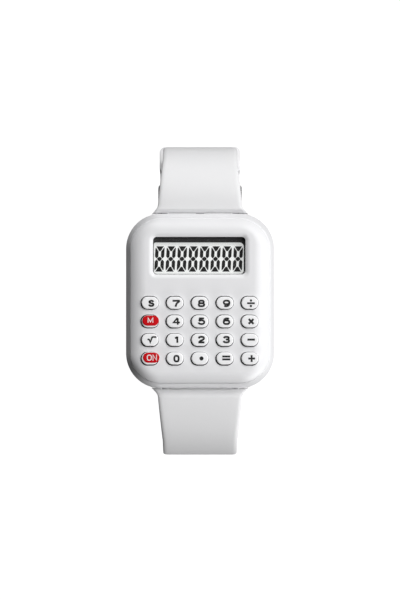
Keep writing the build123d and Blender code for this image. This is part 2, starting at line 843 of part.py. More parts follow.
def strap_fittings(end):
    """The cutters for the spring bar's bore and the two pockets that take the case's ears."""
    pocket_bottom = bar_z - root_radius - pocket_clearance
    pocket_start = bar_y - root_radius - pocket_clearance
    with BuildPart() as cutters:
        with BuildSketch(Plane.YZ.offset(-flare_half_width)):
            with Locations((end * bar_y, bar_z)):
                Circle(bar_radius + bore_clearance)
        extrude(amount=2 * flare_half_width)
        for pocket_x in (ear_inner - pocket_clearance, -ear_outer - pocket_clearance):
            with BuildSketch(Plane.YZ.offset(pocket_x)):
                with Locations((end * (pocket_start + bar_y + pocket_back) / 2,
                                (pocket_bottom + bar_z + pocket_roof) / 2)):
                    Rectangle(bar_y + pocket_back - pocket_start,
                              bar_z + pocket_roof - pocket_bottom)
            extrude(amount=ear_width + 2 * pocket_clearance)
    return cutters.part


# Buckle half of the strap, from the case at twelve o'clock down to the buckle bar
with BuildPart() as strap_upper:
    with BuildSketch(Plane.YZ.offset(-flare_half_width - overrun)):
        with BuildLine():
            outer_bend = JernArc((bar_y, root_top_z), (1, 0), bend_radius, -quarter_turn)
            outer_drop = JernArc(outer_bend @ 1, outer_bend % 1, drop_radius, -buckle_drop_angle)
            inner_bend = JernArc((bar_y, root_top_z - strap_thickness), (1, 0),
                                 bend_radius - strap_thickness, -quarter_turn)
            inner_drop = JernArc(inner_bend @ 1, inner_bend % 1, drop_radius - strap_thickness,
                                 -buckle_drop_angle)
            Line(outer_bend @ 0, inner_bend @ 0)
            Line(outer_drop @ 1, inner_drop @ 1)
        make_face()
        strap_root()
        with Locations((pin_y, pin_z)):
            Circle(knuckle_radius)
    extrude(amount=2 * (flare_half_width + overrun))
    add(strap_plan(twelve_end), mode=Mode.INTERSECT)
    add(strap_fittings(twelve_end), mode=Mode.SUBTRACT)
    with BuildSketch(Plane.YZ.offset(-strap_width / 2)):
        with Locations((pin_y, pin_z)):
            Circle(pin_radius + pin_clearance)
    extrude(amount=strap_width, mode=Mode.SUBTRACT)
    with BuildSketch(Plane.YZ.offset(-tongue_width / 2 - tongue_slot_gap)):
        with Locations((pin_y, pin_z)):
            Circle(tongue_slot_depth)
    extrude(amount=tongue_width + 2 * tongue_slot_gap, mode=Mode.SUBTRACT)
save(strap_upper.part, "strap_upper")

# Tail half of the strap, from six o'clock down and round to the surface, with its row of holes
with BuildPart() as strap_lower:
    with BuildSketch(Plane.YZ.offset(-flare_half_width - overrun)):
        with BuildLine():
            outer_bend = JernArc((bar_y, root_top_z), (1, 0), bend_radius, -quarter_turn)
            outer_drop = JernArc(outer_bend @ 1, outer_bend % 1, drop_radius, -tail_drop_angle)
            outer_sweep = JernArc(outer_drop @ 1, outer_drop % 1, sweep_radius,
                                  tail_drop_angle - quarter_turn)
            inner_bend = JernArc((bar_y, root_top_z - strap_thickness), (1, 0),
                                 bend_radius - strap_thickness, -quarter_turn)
            inner_drop = JernArc(inner_bend @ 1, inner_bend % 1, drop_radius - strap_thickness,
                                 -tail_drop_angle)
            inner_sweep = JernArc(inner_drop @ 1, inner_drop % 1, sweep_radius - strap_thickness,
                                  tail_drop_angle - quarter_turn)
            Line(outer_bend @ 0, inner_bend @ 0)
            Polyline(outer_sweep @ 1, (sweep_end_y - tail_flat, surface_z),
                     (sweep_end_y - tail_flat, surface_z + strap_thickness), inner_sweep @ 1)
        make_face()
        strap_root()
        mirror(about=Plane.YZ, mode=Mode.REPLACE)
    extrude(amount=2 * (flare_half_width + overrun))
    add(strap_plan(six_end), mode=Mode.INTERSECT)
    add(strap_fittings(six_end), mode=Mode.SUBTRACT)
    tip_corners = strap_lower.edges().filter_by(Axis.Z).group_by(Axis.Y)[-1]
    fillet(tip_corners, radius=tail_corner)
    for hole in range(hole_count):
        turn = (hole_first + hole * hole_pitch - tail_flat) / (sweep_radius - strap_thickness / 2)
        with BuildSketch(Plane(origin=(0, -sweep_end_y, sweep_z), x_dir=(1, 0, 0),
                               z_dir=(0, -sin(turn), -cos(turn)))):
            Circle(hole_radius)
        extrude(amount=sweep_radius + overrun, mode=Mode.SUBTRACT)
save(strap_lower.part, "strap_lower")


def strap_loop(angle):
    """A closed loop round the buckle half, with room outside it for the tail."""
    y, z = on_drop(angle, middle_radius)
    along = Vector(0, -sin(radians(angle)), -cos(radians(angle)))
    middle = Plane(origin=(0, y, z), x_dir=(1, 0, 0), z_dir=along)
    room_width = strap_width + 2 * keeper_side_gap
    room_height = 2 * strap_thickness + 2 * keeper_face_gap + keeper_room
    room_y = strap_thickness / 2 + keeper_face_gap - room_height / 2
    with BuildPart() as loop:
        with BuildSketch(middle.offset(-keeper_length / 2)):
            with Locations((0, room_y)):
                RectangleRounded(room_width + 2 * keeper_wall, room_height + 2 * keeper_wall,
                                 keeper_corner + keeper_wall / 2)
                RectangleRounded(room_width, room_height, keeper_corner / 2, mode=Mode.SUBTRACT)
        extrude(amount=keeper_length)
    return loop.part


save(strap_loop(fixed_keeper_angle), "keeper_fixed")
save(strap_loop(free_keeper_angle), "keeper_free")

# Buckle bar through the strap's end and the two legs of the frame
leg_inner = strap_width / 2 + frame_gap
leg_outer = leg_inner + frame_leg
with BuildPart() as buckle_bar:
    with BuildSketch(Plane.YZ.offset(-leg_outer)):
        with Locations((pin_y, pin_z)):
            Circle(pin_radius)
    extrude(amount=2 * leg_outer)
save(buckle_bar.part, "buckle_bar")

# Buckle frame: two legs and a front bar with a notch for the tongue
with BuildPart() as buckle_frame:
    with BuildSketch(Plane.XY.offset(pin_z - frame_thickness / 2)):
        with Locations((0, pin_y + (frame_heel - frame_reach) / 2)):
            RectangleRounded(2 * leg_outer, frame_reach + frame_heel, frame_heel)
        with Locations((0, pin_y + overrun / 2 - frame_reach + frame_front)):
            Rectangle(2 * leg_inner, overrun, mode=Mode.SUBTRACT)
    extrude(amount=frame_thickness)
    with BuildSketch(Plane.YZ.offset(-leg_outer)):
        with Locations((pin_y, pin_z)):
            Circle(pin_radius)
    extrude(amount=2 * leg_outer, mode=Mode.SUBTRACT)
    with BuildSketch(Plane.XY.offset(pin_z + tongue_rest_z - notch_gap)):
        with Locations((0, pin_y - frame_reach)):
            Rectangle(tongue_width + 2 * tongue_slot_gap, 2 * frame_front)
    extrude(amount=overrun, mode=Mode.SUBTRACT)
save(buckle_frame.part, "buckle_frame")

# Buckle tongue, with an eye round the bar
with BuildPart() as buckle_tongue:
    with BuildSketch(Plane.YZ.offset(-tongue_width / 2)):
        with Locations((pin_y, pin_z)):
            Circle(pin_radius + pin_clearance + tongue_eye_wall)
        with Locations((pin_y - (frame_reach + tongue_overhang) / 2,
                        pin_z + tongue_rest_z + tongue_thickness / 2)):
            Rectangle(frame_reach + tongue_overhang, tongue_thickness)
        with Locations((pin_y, pin_z)):
            Circle(pin_radius + pin_clearance, mode=Mode.SUBTRACT)
    extrude(amount=tongue_width)
save(buckle_tongue.part, "buckle_tongue")

print(f"surface {surface_z:.3f}, bar {bar_y:.3f} {bar_z:.3f}, buckle bar {pin_y:.3f} {pin_z:.3f}")
print(f"sweep radius {sweep_radius:.3f}, flat from {-sweep_end_y:.3f}, centre {sweep_z:.3f}")
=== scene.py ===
from math import asin, atan2, cos, pi, radians, sin, sqrt, tan

import bmesh
import bpy
from mathutils import Matrix, Vector


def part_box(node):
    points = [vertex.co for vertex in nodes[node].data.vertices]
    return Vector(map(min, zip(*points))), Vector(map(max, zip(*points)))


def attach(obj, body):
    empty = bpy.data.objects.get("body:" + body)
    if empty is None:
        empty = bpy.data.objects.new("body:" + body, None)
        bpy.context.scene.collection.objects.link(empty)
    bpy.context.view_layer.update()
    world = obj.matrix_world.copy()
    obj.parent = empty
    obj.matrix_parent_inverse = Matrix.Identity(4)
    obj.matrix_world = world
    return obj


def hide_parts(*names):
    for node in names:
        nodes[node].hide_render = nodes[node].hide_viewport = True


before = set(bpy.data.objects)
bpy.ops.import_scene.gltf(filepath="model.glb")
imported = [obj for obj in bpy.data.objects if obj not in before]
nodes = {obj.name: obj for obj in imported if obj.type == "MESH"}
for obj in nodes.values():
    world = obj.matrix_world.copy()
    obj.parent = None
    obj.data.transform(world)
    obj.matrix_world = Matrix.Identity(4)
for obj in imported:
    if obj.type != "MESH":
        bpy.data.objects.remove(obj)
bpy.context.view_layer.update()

mm = 0.001


# Rear shell. A white satin ABS tub moulded in one piece: flat back, belly, a soft widest line and
# a sloped side up to the parting line. Screw wells and the battery door's seat open in its back.
door_low, door_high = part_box("battery_door")
screws_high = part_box("case_screws")[1]
case_width = 40.0 * mm
case_length = 47.2 * mm
case_corner = 9.5 * mm
corner_steps = 24
widest_z = 4.6 * mm
widest_round = 0.45 * mm
rim_inset = 1.15 * mm
rim_round = 0.14 * mm
rim_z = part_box("rear_shell")[1].z - 0.18 * mm
end_slope = 0.3 * mm
back_inset = 2.7 * mm
back_round = 0.36 * mm
back_wall = 1.2 * mm
shell_wall = 3.5 * mm
screw_head_radius = 1.0 * mm
screw_well_radius = 1.1 * mm
screw_well_depth = 0.9 * mm
well_lip = 0.08 * mm
door_gap = 0.1 * mm
door_depth = 0.6 * mm
door_radius = (door_high.x - door_low.x) / 2
door_y = door_low.y + door_radius
tab_radius = 1.9 * mm
tab_y = door_high.y - tab_radius
cell_well_radius = 10.3 * mm
door_steps = 56
tab_steps = 14
cell_well_steps = 72
back_flat_inset = back_inset + 1.05 * back_round
soften_steps = 6
merge_reach = 0.0005 * mm
cloud_scale = 120.0
fleck_scale_share = 0.31
fleck_share = 0.35
mould_depth = 0.04 * mm
group_inputs = (("Tone", "Color"), ("Other Tone", "Color"), ("Grain Size", "Float"),
                ("Grain Height", "Float"), ("Roughness", "Float"), ("Other Roughness", "Float"))
group_outputs = (("Base Color", "Color"), ("Roughness", "Float"), ("Normal", "Vector"))


def add_node(tree, kind, **values):
    """Add a shader node; its inputs and settings are given by name, with _ for a space."""
    made = tree.nodes.new(kind)
    for name, value in values.items():
        title = name.replace("_", " ").title()
        if title in made.inputs:
            made.inputs[title].default_value = value
        else:
            setattr(made, name, value)
    return made


def wire(tree, *pairs):
    """Link pairs of sockets."""
    for start, end in pairs:
        tree.links.new(start, end)


def new_group(name, inputs):
    """Start a surface group; returns its tree, what it is given and its results."""
    tree = bpy.data.node_groups.new(name, "ShaderNodeTree")
    for sockets, way in ((inputs, "INPUT"), (group_outputs, "OUTPUT")):
        for title, kind in sockets:
            tree.interface.new_socket(name=title, in_out=way, socket_type=f"NodeSocket{kind}")
    return tree, tree.nodes.new("NodeGroupInput").outputs, tree.nodes.new("NodeGroupOutput").inputs


def end_group(tree, given, result, tint, sheen, relief, depth):
    """End a surface group: its tones, its roughness and its bump each follow a texture."""
    mix = add_node(tree, "ShaderNodeMix", data_type="RGBA")
    tones = [socket for socket in mix.inputs if socket.type == "RGBA"]
    mixed = [socket for socket in mix.outputs if socket.type == "RGBA"]
    rough = add_node(tree, "ShaderNodeMapRange")
    bump = add_node(tree, "ShaderNodeBump", distance=depth)
    wire(tree, (tint, mix.inputs["Factor"]), (given["Tone"], tones[0]),
         (given["Other Tone"], tones[1]), (sheen, rough.inputs["Value"]),
         (given["Roughness"], rough.inputs["To Min"]),
         (given["Other Roughness"], rough.inputs["To Max"]), (relief, bump.inputs["Height"]),
         (given["Grain Height"], bump.inputs["Strength"]), (mixed[0], result["Base Color"]),
         (rough.outputs["Result"], result["Roughness"]), (bump.outputs["Normal"], result["Normal"]))
    return tree


def make_moulded_surface():
    """Fine mould grain over slow clouds of tone, as on satin plastic, gloss plastic and rubber."""
    tree, given, result = new_group("moulded surface", group_inputs)
    place = add_node(tree, "ShaderNodeTexCoord").outputs["Object"]
    grain = add_node(tree, "ShaderNodeTexNoise", detail=3.0, roughness=0.6)
    cloud = add_node(tree, "ShaderNodeTexNoise", scale=cloud_scale, detail=4.0, roughness=0.55)
    fleck = add_node(tree, "ShaderNodeTexNoise", detail=2.0, roughness=0.7)
    finer = add_node(tree, "ShaderNodeMath", operation="MULTIPLY")
    finer.inputs[1].default_value = fleck_scale_share
    join = add_node(tree, "ShaderNodeMath", operation="MULTIPLY_ADD")
    join.inputs[1].default_value = fleck_share
    wire(tree, (place, grain.inputs["Vector"]), (place, cloud.inputs["Vector"]),
         (place, fleck.inputs["Vector"]), (given["Grain Size"], grain.inputs["Scale"]),
         (given["Grain Size"], finer.inputs[0]), (finer.outputs[0], fleck.inputs["Scale"]),
         (fleck.outputs["Fac"], join.inputs[0]), (cloud.outputs["Fac"], join.inputs[2]))
    return end_group(tree, given, result, join.outputs[0], cloud.outputs["Fac"],
                     grain.outputs["Fac"], mould_depth)


def new_material(name, **values):
    """A Principled material with its even values set on the shader's own sockets."""
    material = bpy.data.materials.new(name)
    material.use_nodes = True
    tree = material.node_tree
    shader = tree.nodes["Principled BSDF"]
    for socket, value in values.items():
        shader.inputs[socket.replace("_", " ").title().replace("Ior", "IOR")].default_value = value
    return material, tree, shader


def surfaced(name, group, tones, grain, rough, stretch=None, **values):
    """A material led by a surface group; its grain is a size and a height, its roughness a span."""
    material, tree, shader = new_material(name, **values)
    surface = tree.nodes.new("ShaderNodeGroup")
    surface.node_tree = group
    given = [(*tone, 1) for tone in tones] + [*grain, *rough]
    for (title, kind), value in zip(group_inputs, given):
        surface.inputs[title].default_value = value
    if stretch:
        surface.inputs["Stretch"].default_value = stretch
    wire(tree, *((surface.outputs[title], shader.inputs[title]) for title, kind in group_outputs))
    return material


moulded_surface = make_moulded_surface()


def moulded(name, *tones, **values):
    """A moulded plastic, rubber, ink or glass."""
    return surfaced(name, moulded_surface, tones, **values)


white_case = moulded("white satin case", (0.80, 0.80, 0.81), (0.76, 0.76, 0.775),
                     grain=(5200.0, 0.16), rough=(0.38, 0.50), specular_ior_level=0.45)


def rounded_loop(width, length, corner, z, x=0.0, y=0.0, steps=corner_steps):
    """Points round a rectangle with one corner radius, or four from the upper right."""
    points = []
    for quarter, (side_x, side_y) in enumerate(((1, 1), (-1, 1), (-1, -1), (1, -1))):
        radius = corner[quarter] if isinstance(corner, tuple) else corner
        for step in range(steps + 1):
            turn = (quarter + step / steps) * pi / 2
            points.append((x + side_x * (width / 2 - radius) + radius * cos(turn),
                           y + side_y * (length / 2 - radius) + radius * sin(turn), z))
    return points


def arc(x, y, z, radius, start, end, steps):
    """Points along an arc about the vertical axis."""
    turns = [start + (end - start) * step / steps for step in range(steps + 1)]
    return [(x + radius * cos(turn), y + radius * sin(turn), z) for turn in turns]


def circle(x, y, z, radius, count=32):
    """Points round a circle about the vertical axis."""
    return arc(x, y, z, radius, 0, 2 * pi * (count - 1) / count, count - 1)


def case_loop(inset, z):
    """One ring of the case's outline, drawn in by an inset; its ends slope more than its sides."""
    rise = min(1.0, max(0.0, (z - widest_z) / (rim_z - widest_z)))
    return rounded_loop(case_width - 2 * inset, case_length - 2 * inset - 2 * end_slope * rise,
                        case_corner - inset, z)


def door_outline(rim, z):
    """The battery door's outline grown by a rim: a disc with a screw tab towards twelve."""
    radius = door_radius + rim
    tab_width = tab_radius + rim
    meet = atan2(sqrt(radius ** 2 - tab_width ** 2), tab_width)
    return (arc(0, door_y, z, radius, pi - meet, 2 * pi + meet, door_steps)
            + arc(0, tab_y, z, tab_width, 0, pi, tab_steps))


def soften(profile, bends):
    """Round the named corners of an (inset, z) profile; bends maps a corner to its radius."""
    softened = []
    for i, point in enumerate(profile):
        if i not in bends:
            softened.append(point)
            continue
        here = Vector(point)
        before = (Vector(profile[i - 1]) - here).normalized() * bends[i]
        after = (Vector(profile[i + 1]) - here).normalized() * bends[i]
        for step in range(soften_steps + 1):
            t = step / soften_steps
            softened.append(tuple(here + before * (1 - t) ** 2 + after * t ** 2))
    return softened


def add_loop(mesh, points):
    """Add one ring of points to a mesh."""
    return [mesh.verts.new(point) for point in points]


def skin(mesh, loops):
    """Join rings of as many points each by bands of faces; the rings may be points or verts."""
    rings = [loop if isinstance(loop[0], bmesh.types.BMVert) else add_loop(mesh, loop)
             for loop in loops]
    for lower, upper in zip(rings, rings[1:]):
        count = len(lower)
        for i in range(count):
            mesh.faces.new((lower[i], lower[(i + 1) % count], upper[(i + 1) % count], upper[i]))
    return rings


def fill_flat(mesh, rim, holes=()):
    """Close a flat rim but for its holes; its edges keep one order, so each run fills alike."""
    edges = [mesh.edges.get(pair) or mesh.edges.new(pair)
             for ring in (rim, *holes) for pair in zip(ring, ring[1:] + ring[:1])]
    bmesh.ops.triangle_fill(mesh, edges=edges, use_beauty=True)


def finish_piece(name, mesh, material, body, slot, stands_for=(), sharp=35.0):
    """Turn a bmesh into a named, smooth-shaded piece that rides on its body."""
    bmesh.ops.remove_doubles(mesh, verts=mesh.verts, dist=merge_reach)
    bmesh.ops.dissolve_degenerate(mesh, edges=mesh.edges, dist=merge_reach)
    bmesh.ops.recalc_face_normals(mesh, faces=mesh.faces)
    data = bpy.data.meshes.new(name)
    mesh.to_mesh(data)
    mesh.free()
    piece = bpy.data.objects.new(name, data)
    bpy.context.scene.collection.objects.link(piece)
    data.materials.append(material)
    data.shade_smooth()
    data.set_sharp_from_angle(angle=radians(sharp))
    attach(piece, body)
    if stands_for:
        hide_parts(*stands_for)
    return piece


shell = bmesh.new()
shell_profile = soften(
    [(shell_wall, back_wall), (shell_wall, rim_z), (rim_inset, rim_z), (0.0, widest_z),
     (back_inset, 0.0), (back_flat_inset, 0.0)],
    {2: rim_round, 3: widest_round, 4: back_round})
shell_rings = skin(shell, [case_loop(inset, z) for inset, z in shell_profile])
seat = skin(shell, [door_outline(door_gap + rim, z)
                    for rim, z in ((2 * well_lip, 0.0), (well_lip, 0.0), (0.0, well_lip),
                                   (0.0, door_depth))])
back_rims = [seat[0]]
for side_x, side_y in ((-1, -1), (-1, 1), (1, -1), (1, 1)):
    well = skin(shell, [circle(side_x * (screws_high.x - screw_head_radius),
                               side_y * (screws_high.y - screw_head_radius), z,
                               screw_well_radius + grow)
                        for grow, z in ((2 * well_lip, 0.0), (well_lip, 0.0), (0.0, well_lip),
                                        (0.0, screw_well_depth))])
    back_rims.append(well[0])
    shell.faces.new(well[-1])
mouth = skin(shell, [circle(0, door_y, z, cell_well_radius, cell_well_steps)
                     for z in (door_depth, back_wall)])
fill_flat(shell, shell_rings[-1], back_rims)
fill_flat(shell, seat[-1], [mouth[0]])
fill_flat(shell, shell_rings[0], [mouth[-1]])
finish_piece("rear_shell_moulding", shell, white_case, "case", "white_case", ["rear_shell"])

# Strap ears. Two forked lugs at each end of the rear shell, moulded with it, that hold the spring
# bars; the strap's root hides them from the front.
bar_low, bar_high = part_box("spring_bar_upper")
bar_y = (bar_low.y + bar_high.y) / 2
bar_z = (bar_low.z + bar_high.z) / 2
ear_inner = 8.7 * mm
ear_outer = 10.3 * mm
ear_radius = 1.35 * mm
ear_neck = 0.75 * mm
ear_edge = 0.18 * mm
ear_root = 2.4 * mm
ear_steps = 24
edge_share = 0.3


def close_ends(mesh, rings):
    """Close a skinned row of rings with a face at each end."""
    mesh.faces.new(rings[0])
    mesh.faces.new(rings[-1])


def ear_outline(end, trim, x):
    """Side outline of one ear: a neck out of the case with a round end."""
    radius = ear_radius - trim
    neck = ear_neck - trim
    meet = atan2(neck, -sqrt(radius ** 2 - neck ** 2))
    start = (case_length / 2 - ear_root) - bar_y
    outline = [(start, neck)]
    for step in range(ear_steps + 1):
        turn = meet - 2 * meet * step / ear_steps
        outline.append((radius * cos(turn), radius * sin(turn)))
    outline.append((start, -neck))
    return [(x, end * (bar_y + y), bar_z + z) for y, z in outline]


ears = bmesh.new()
bend = ear_edge * edge_share
for side, end in ((-1, -1), (-1, 1), (1, -1), (1, 1)):
    close_ends(ears, skin(ears, [ear_outline(end, trim, side * x) for trim, x in (
        (ear_edge, ear_inner), (bend, ear_inner + bend), (0.0, ear_inner + ear_edge),
        (0.0, ear_outer - ear_edge), (bend, ear_outer - bend), (ear_edge, ear_outer))]))
finish_piece("strap_ears", ears, white_case, "case", "white_case")

# Screws, spring bars and their tips. Small turned steel parts: the case screws sit in the wells of
# the back, the bars lie between the ears with their sprung tips in the ears' holes.
line_depth = 0.03 * mm
crease_angle = radians(30)
bevel_angle = radians(35)


def make_brushed_surface():
    """Long fine lines with a slow tone, as on drawn, turned or brushed metal."""
    tree, given, result = new_group("brushed surface", (*group_inputs, ("Stretch", "Vector")))
    place = add_node(tree, "ShaderNodeTexCoord")
    stretch = add_node(tree, "ShaderNodeVectorMath", operation="MULTIPLY")
    noise = add_node(tree, "ShaderNodeTexNoise", detail=3.0, roughness=0.6)
    wire(tree, (place.outputs["Object"], stretch.inputs[0]), (given["Stretch"], stretch.inputs[1]),
         (stretch.outputs["Vector"], noise.inputs["Vector"]),
         (given["Grain Size"], noise.inputs["Scale"]))
    lines = noise.outputs["Fac"]
    return end_group(tree, given, result, lines, lines, lines, line_depth)


brushed_surface = make_brushed_surface()


def brushed(name, *tones, **values):
    """A drawn, turned or brushed metal, its dark tone first."""
    return surfaced(name, brushed_surface, tones, metallic=1.0, **values)


def dress(names, material, bevel=0.0):
    """Give carried nodes their finish, smooth shading and, where asked, broken edges."""
    for name in names:
        part = nodes[name]
        part.data.materials.clear()
        part.data.materials.append(material)
        part.data.shade_smooth()
        part.data.set_sharp_from_angle(angle=crease_angle)
        if bevel:
            edge = part.modifiers.new("broken edges", "BEVEL")
            edge.width = bevel
            edge.segments = 3
            edge.limit_method = "ANGLE"
            edge.angle_limit = bevel_angle
            edge.harden_normals = True


screw_steel = brushed("screw steel", (0.44, 0.44, 0.45), (0.62, 0.62, 0.63),
                      grain=(12000.0, 0.12), rough=(0.38, 0.24), stretch=(1.0, 0.08, 1.0))
dress(["case_screws", "battery_door_screw", "board_screws"], screw_steel, bevel=0.05 * mm)
dress(["spring_bar_upper", "spring_bar_lower", "spring_bar_tips"], screw_steel, bevel=0.08 * mm)

# Battery door. A white cap, flush with the back, with a coin slot; its tab takes the door screw.
dress(["battery_door"], white_case, bevel=0.08 * mm)

# Coin cell and contacts. The cell is nickel plated steel; the spring and the side clip are thin
# gold washed strip, soldered to the board.
cell_steel = brushed("cell steel", (0.62, 0.62, 0.61), (0.78, 0.78, 0.77),
                     grain=(7000.0, 0.08), rough=(0.30, 0.16), stretch=(1.0, 0.05, 1.0))
contact_gold = brushed("contact strip", (0.66, 0.52, 0.27), (0.83, 0.68, 0.38),
                       grain=(9000.0, 0.08), rough=(0.32, 0.18), stretch=(0.05, 1.0, 1.0))
dress(["coin_cell"], cell_steel, bevel=0.15 * mm)
dress(["battery_spring", "battery_clip"], contact_gold, bevel=0.04 * mm)

# Circuit board and what is soldered to it. Green glass epoxy with carbon key contacts, a black
# epoxy blob over the chip, a drawn crystal can and a row of fired ceramic capacitors.
board_green = moulded("board resist", (0.012, 0.11, 0.045), (0.02, 0.16, 0.06),
                      grain=(2600.0, 0.25), rough=(0.22, 0.34), coat_weight=0.3)
carbon_ink = moulded("carbon ink", (0.02, 0.02, 0.022), (0.035, 0.035, 0.037),
                     grain=(9000.0, 0.5), rough=(0.5, 0.7))
epoxy_black = moulded("potting epoxy", (0.012, 0.012, 0.013), (0.02, 0.02, 0.02),
                      grain=(1500.0, 0.3), rough=(0.12, 0.3))
ceramic_tan = moulded("fired ceramic", (0.42, 0.29, 0.17), (0.50, 0.37, 0.23),
                      grain=(8000.0, 0.3), rough=(0.45, 0.65))
dress(["circuit_board"], board_green, bevel=0.05 * mm)
dress(["board_contacts", "dome_pills"], carbon_ink)
dress(["chip_cover"], epoxy_black, bevel=0.1 * mm)
dress(["timing_crystal"], cell_steel, bevel=0.12 * mm)
dress(["board_capacitors"], ceramic_tan, bevel=0.06 * mm)

# Rubber inside the case. The translucent key mat with its domes, the foam under the display, the
# carbon filled strip up to it and the black seal between the shells.
mat_rubber = moulded("mat rubber", (0.56, 0.57, 0.56), (0.64, 0.65, 0.64),
                     grain=(4000.0, 0.2), rough=(0.45, 0.6), specular_ior_level=0.4)
dark_foam = moulded("display foam", (0.05, 0.05, 0.052), (0.10, 0.10, 0.10),
                    grain=(7000.0, 0.9), rough=(0.8, 0.95))
seal_black = moulded("seal rubber", (0.02, 0.02, 0.02), (0.035, 0.035, 0.035),
                     grain=(5000.0, 0.3), rough=(0.5, 0.7))
dress(["key_mat"], mat_rubber, bevel=0.12 * mm)
dress(["lcd_cushion"], dark_foam, bevel=0.1 * mm)
dress(["zebra_strip"], carbon_ink, bevel=0.05 * mm)
dress(["case_seal"], seal_black, bevel=0.08 * mm)

# Display. Two glasses with the black segments between them; light grey reflector behind, clear glass
# in front, and a clear window glued under the shell. The reflector glows with painted light that
# keeps the display ground bright where its deep well shades it. The digits are plain eights.
# Painted light: the reflector's emission lights the display ground evenly, standing in for light the
# well's walls shade off.
reflector_painted_glow = moulded("display reflector painted glow", (0.42, 0.42, 0.42), (0.40, 0.405, 0.40),
                    grain=(9000.0, 0.05), rough=(0.45, 0.55), specular_ior_level=0.2,
                    emission_color=(0.98, 1.0, 0.99, 1), emission_strength=0.53)
segment_ink = moulded("segment ink", (0.002, 0.002, 0.002), (0.004, 0.004, 0.004),
                      grain=(9000.0, 0.05), rough=(0.5, 0.7), specular_ior_level=0.05)
clear_glass = moulded("front glass", (0.93, 0.95, 0.94), (0.90, 0.92, 0.91),
                      grain=(2000.0, 0.02), rough=(0.04, 0.10), alpha=0.006,
                      specular_ior_level=0.5)
clear_window = moulded("clear window", (0.95, 0.96, 0.96), (0.93, 0.94, 0.94),
                       grain=(2000.0, 0.02), rough=(0.03, 0.08), alpha=0.006,
                       specular_ior_level=0.25)
dress(["lcd_rear_glass"], reflector_painted_glow)
dress(["lcd_front_glass"], clear_glass)
dress(["display_window"], clear_window)

digit_count = 8
digit_pitch = 3.0 * mm
digit_half = (1.15 * mm, 3.335 * mm)
digit_x = -0.35 * mm
digit_y = 11.26 * mm
digit_lean = tan(radians(3.0))
cap_shares = [(-0.86, 1.02), (0.86, 1.02), (0.26, 0.66), (0, 0.61), (-0.26, 0.66)]
upright_shares = [(-1.08, 0.83), (-0.97, 0.93), (-0.30, 0.60), (-0.30, 0.18), (-0.70, 0.045),
                  (-1.08, 0.20)]
centre_shares = [(-0.60, 0), (-0.34, 0.125), (0, 0.19), (0.34, 0.125), (0.60, 0),
                 (0.34, -0.125), (0, -0.19), (-0.34, -0.125)]
film_gap = 0.01 * mm
segments_low, segments_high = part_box("lcd_segments")
digits = bmesh.new()
for place in range(digit_count):
    middle_x = digit_x + (place - (digit_count - 1) / 2) * digit_pitch
    for shares, flips in ((centre_shares, [(1, 1)]), (cap_shares, [(1, 1), (1, -1)]),
                          (upright_shares, [(1, 1), (-1, 1), (1, -1), (-1, -1)])):
        for flip_x, flip_y in flips:
            outline = [(flip_x * x * digit_half[0], flip_y * y * digit_half[1])
                       for x, y in shares]
            close_ends(digits, skin(digits, [
                [(middle_x + x + y * digit_lean, digit_y + y, z) for x, y in outline]
                for z in (segments_low.z + film_gap, segments_high.z - film_gap)]))
finish_piece("display_digits", digits, segment_ink, "case", "display_ink", ["lcd_segments"])

# Display frame. Black ABS, clipped over the glasses: its top bar slopes towards the digits and
# its right wall is thin. The corner radius of its opening is larger at the upper right.
bezel_low, bezel_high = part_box("display_bezel")
view_left = -12.35 * mm
view_right = 11.71 * mm
view_bottom = 7.25 * mm
view_top = 15.65 * mm
view_corners = (1.15, 0.55, 0.8, 0.95)
bezel_corner = 1.2 * mm
frame_steps = 10
frame_black = moulded("frame black", (0.016, 0.016, 0.016), (0.028, 0.028, 0.029),
                      grain=(6500.0, 0.25), rough=(0.38, 0.52), specular_ior_level=0.3)
# The opening's rings: how far each lies past its left, right, bottom and top, how much its corners
# grow, in millimetres, and its height.
opening_rings = [((0, 0, 0, 0), 0, bezel_low.z),
                 ((0, 0, 0, 0), 0, bezel_low.z + 0.12 * mm),
                 ((0.04, 0.05, 0.04, 0.10), 0, bezel_low.z + 0.16 * mm),
                 ((0.10, 0.18, 0.06, 0.16), 0, bezel_low.z + 0.18 * mm),
                 ((0.16, 0.26, 0.10, 0.85), 0.2, bezel_high.z - 0.06 * mm),
                 ((0.22, 0.34, 0.16, 0.95), 0.3, bezel_high.z)]


def frame_loop(left, right, bottom, top, corner, z):
    """One ring of the display frame from its four sides."""
    return rounded_loop(right - left, top - bottom, corner, z, (left + right) / 2,
                        (bottom + top) / 2, frame_steps)


bezel = bmesh.new()
opening = [frame_loop(view_left - left * mm, view_right + right * mm, view_bottom - bottom * mm,
                      view_top + top * mm, tuple((radius + grow) * mm for radius in view_corners), z)
           for (left, right, bottom, top), grow, z in opening_rings]
outside = [frame_loop(bezel_low.x, bezel_high.x, bezel_low.y, bezel_high.y, bezel_corner, z)
           for z in (bezel_high.z, bezel_low.z)]
skin(bezel, opening + outside + opening[:1])
finish_piece("display_frame", bezel, frame_black, "case", "black_frame", ["display_bezel"],
             sharp=25.0)

# Front shell. White satin ABS: a flat dial with a soft rolled edge all round, a shallow dish
# about the display opening, and twenty pill holes with lightly broken rims for the keys.
skirt_inset = 1.45 * mm
skirt_gap = 0.12 * mm
skirt_edge = 0.06 * mm
roll_width = 4.2 * mm
roll_drop = 1.66 * mm
roll_steps = 18
roll_end_share = 0.738
roll_corner_share = 1.169
flat_guard = 0.12 * mm
front_wall = 1.2 * mm
dial_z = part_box("front_shell")[1].z
key_names = [f"key_{sign}" for sign in (
    "s", "7", "8", "9", "divide", "m", "4", "5", "6", "multiply",
    "root", "1", "2", "3", "minus", "on", "0", "point", "equals", "plus")]
hole_length = 4.95 * mm
hole_width = 3.68 * mm
hole_lip = 0.07 * mm
hole_shift = (-0.12 * mm, -0.06 * mm)
hole_spread_share = 0.008
window_x = -0.2 * mm
window_y = 12.1 * mm
window_width = 24.65 * mm
window_length = 10.0 * mm
window_corner = 1.0 * mm
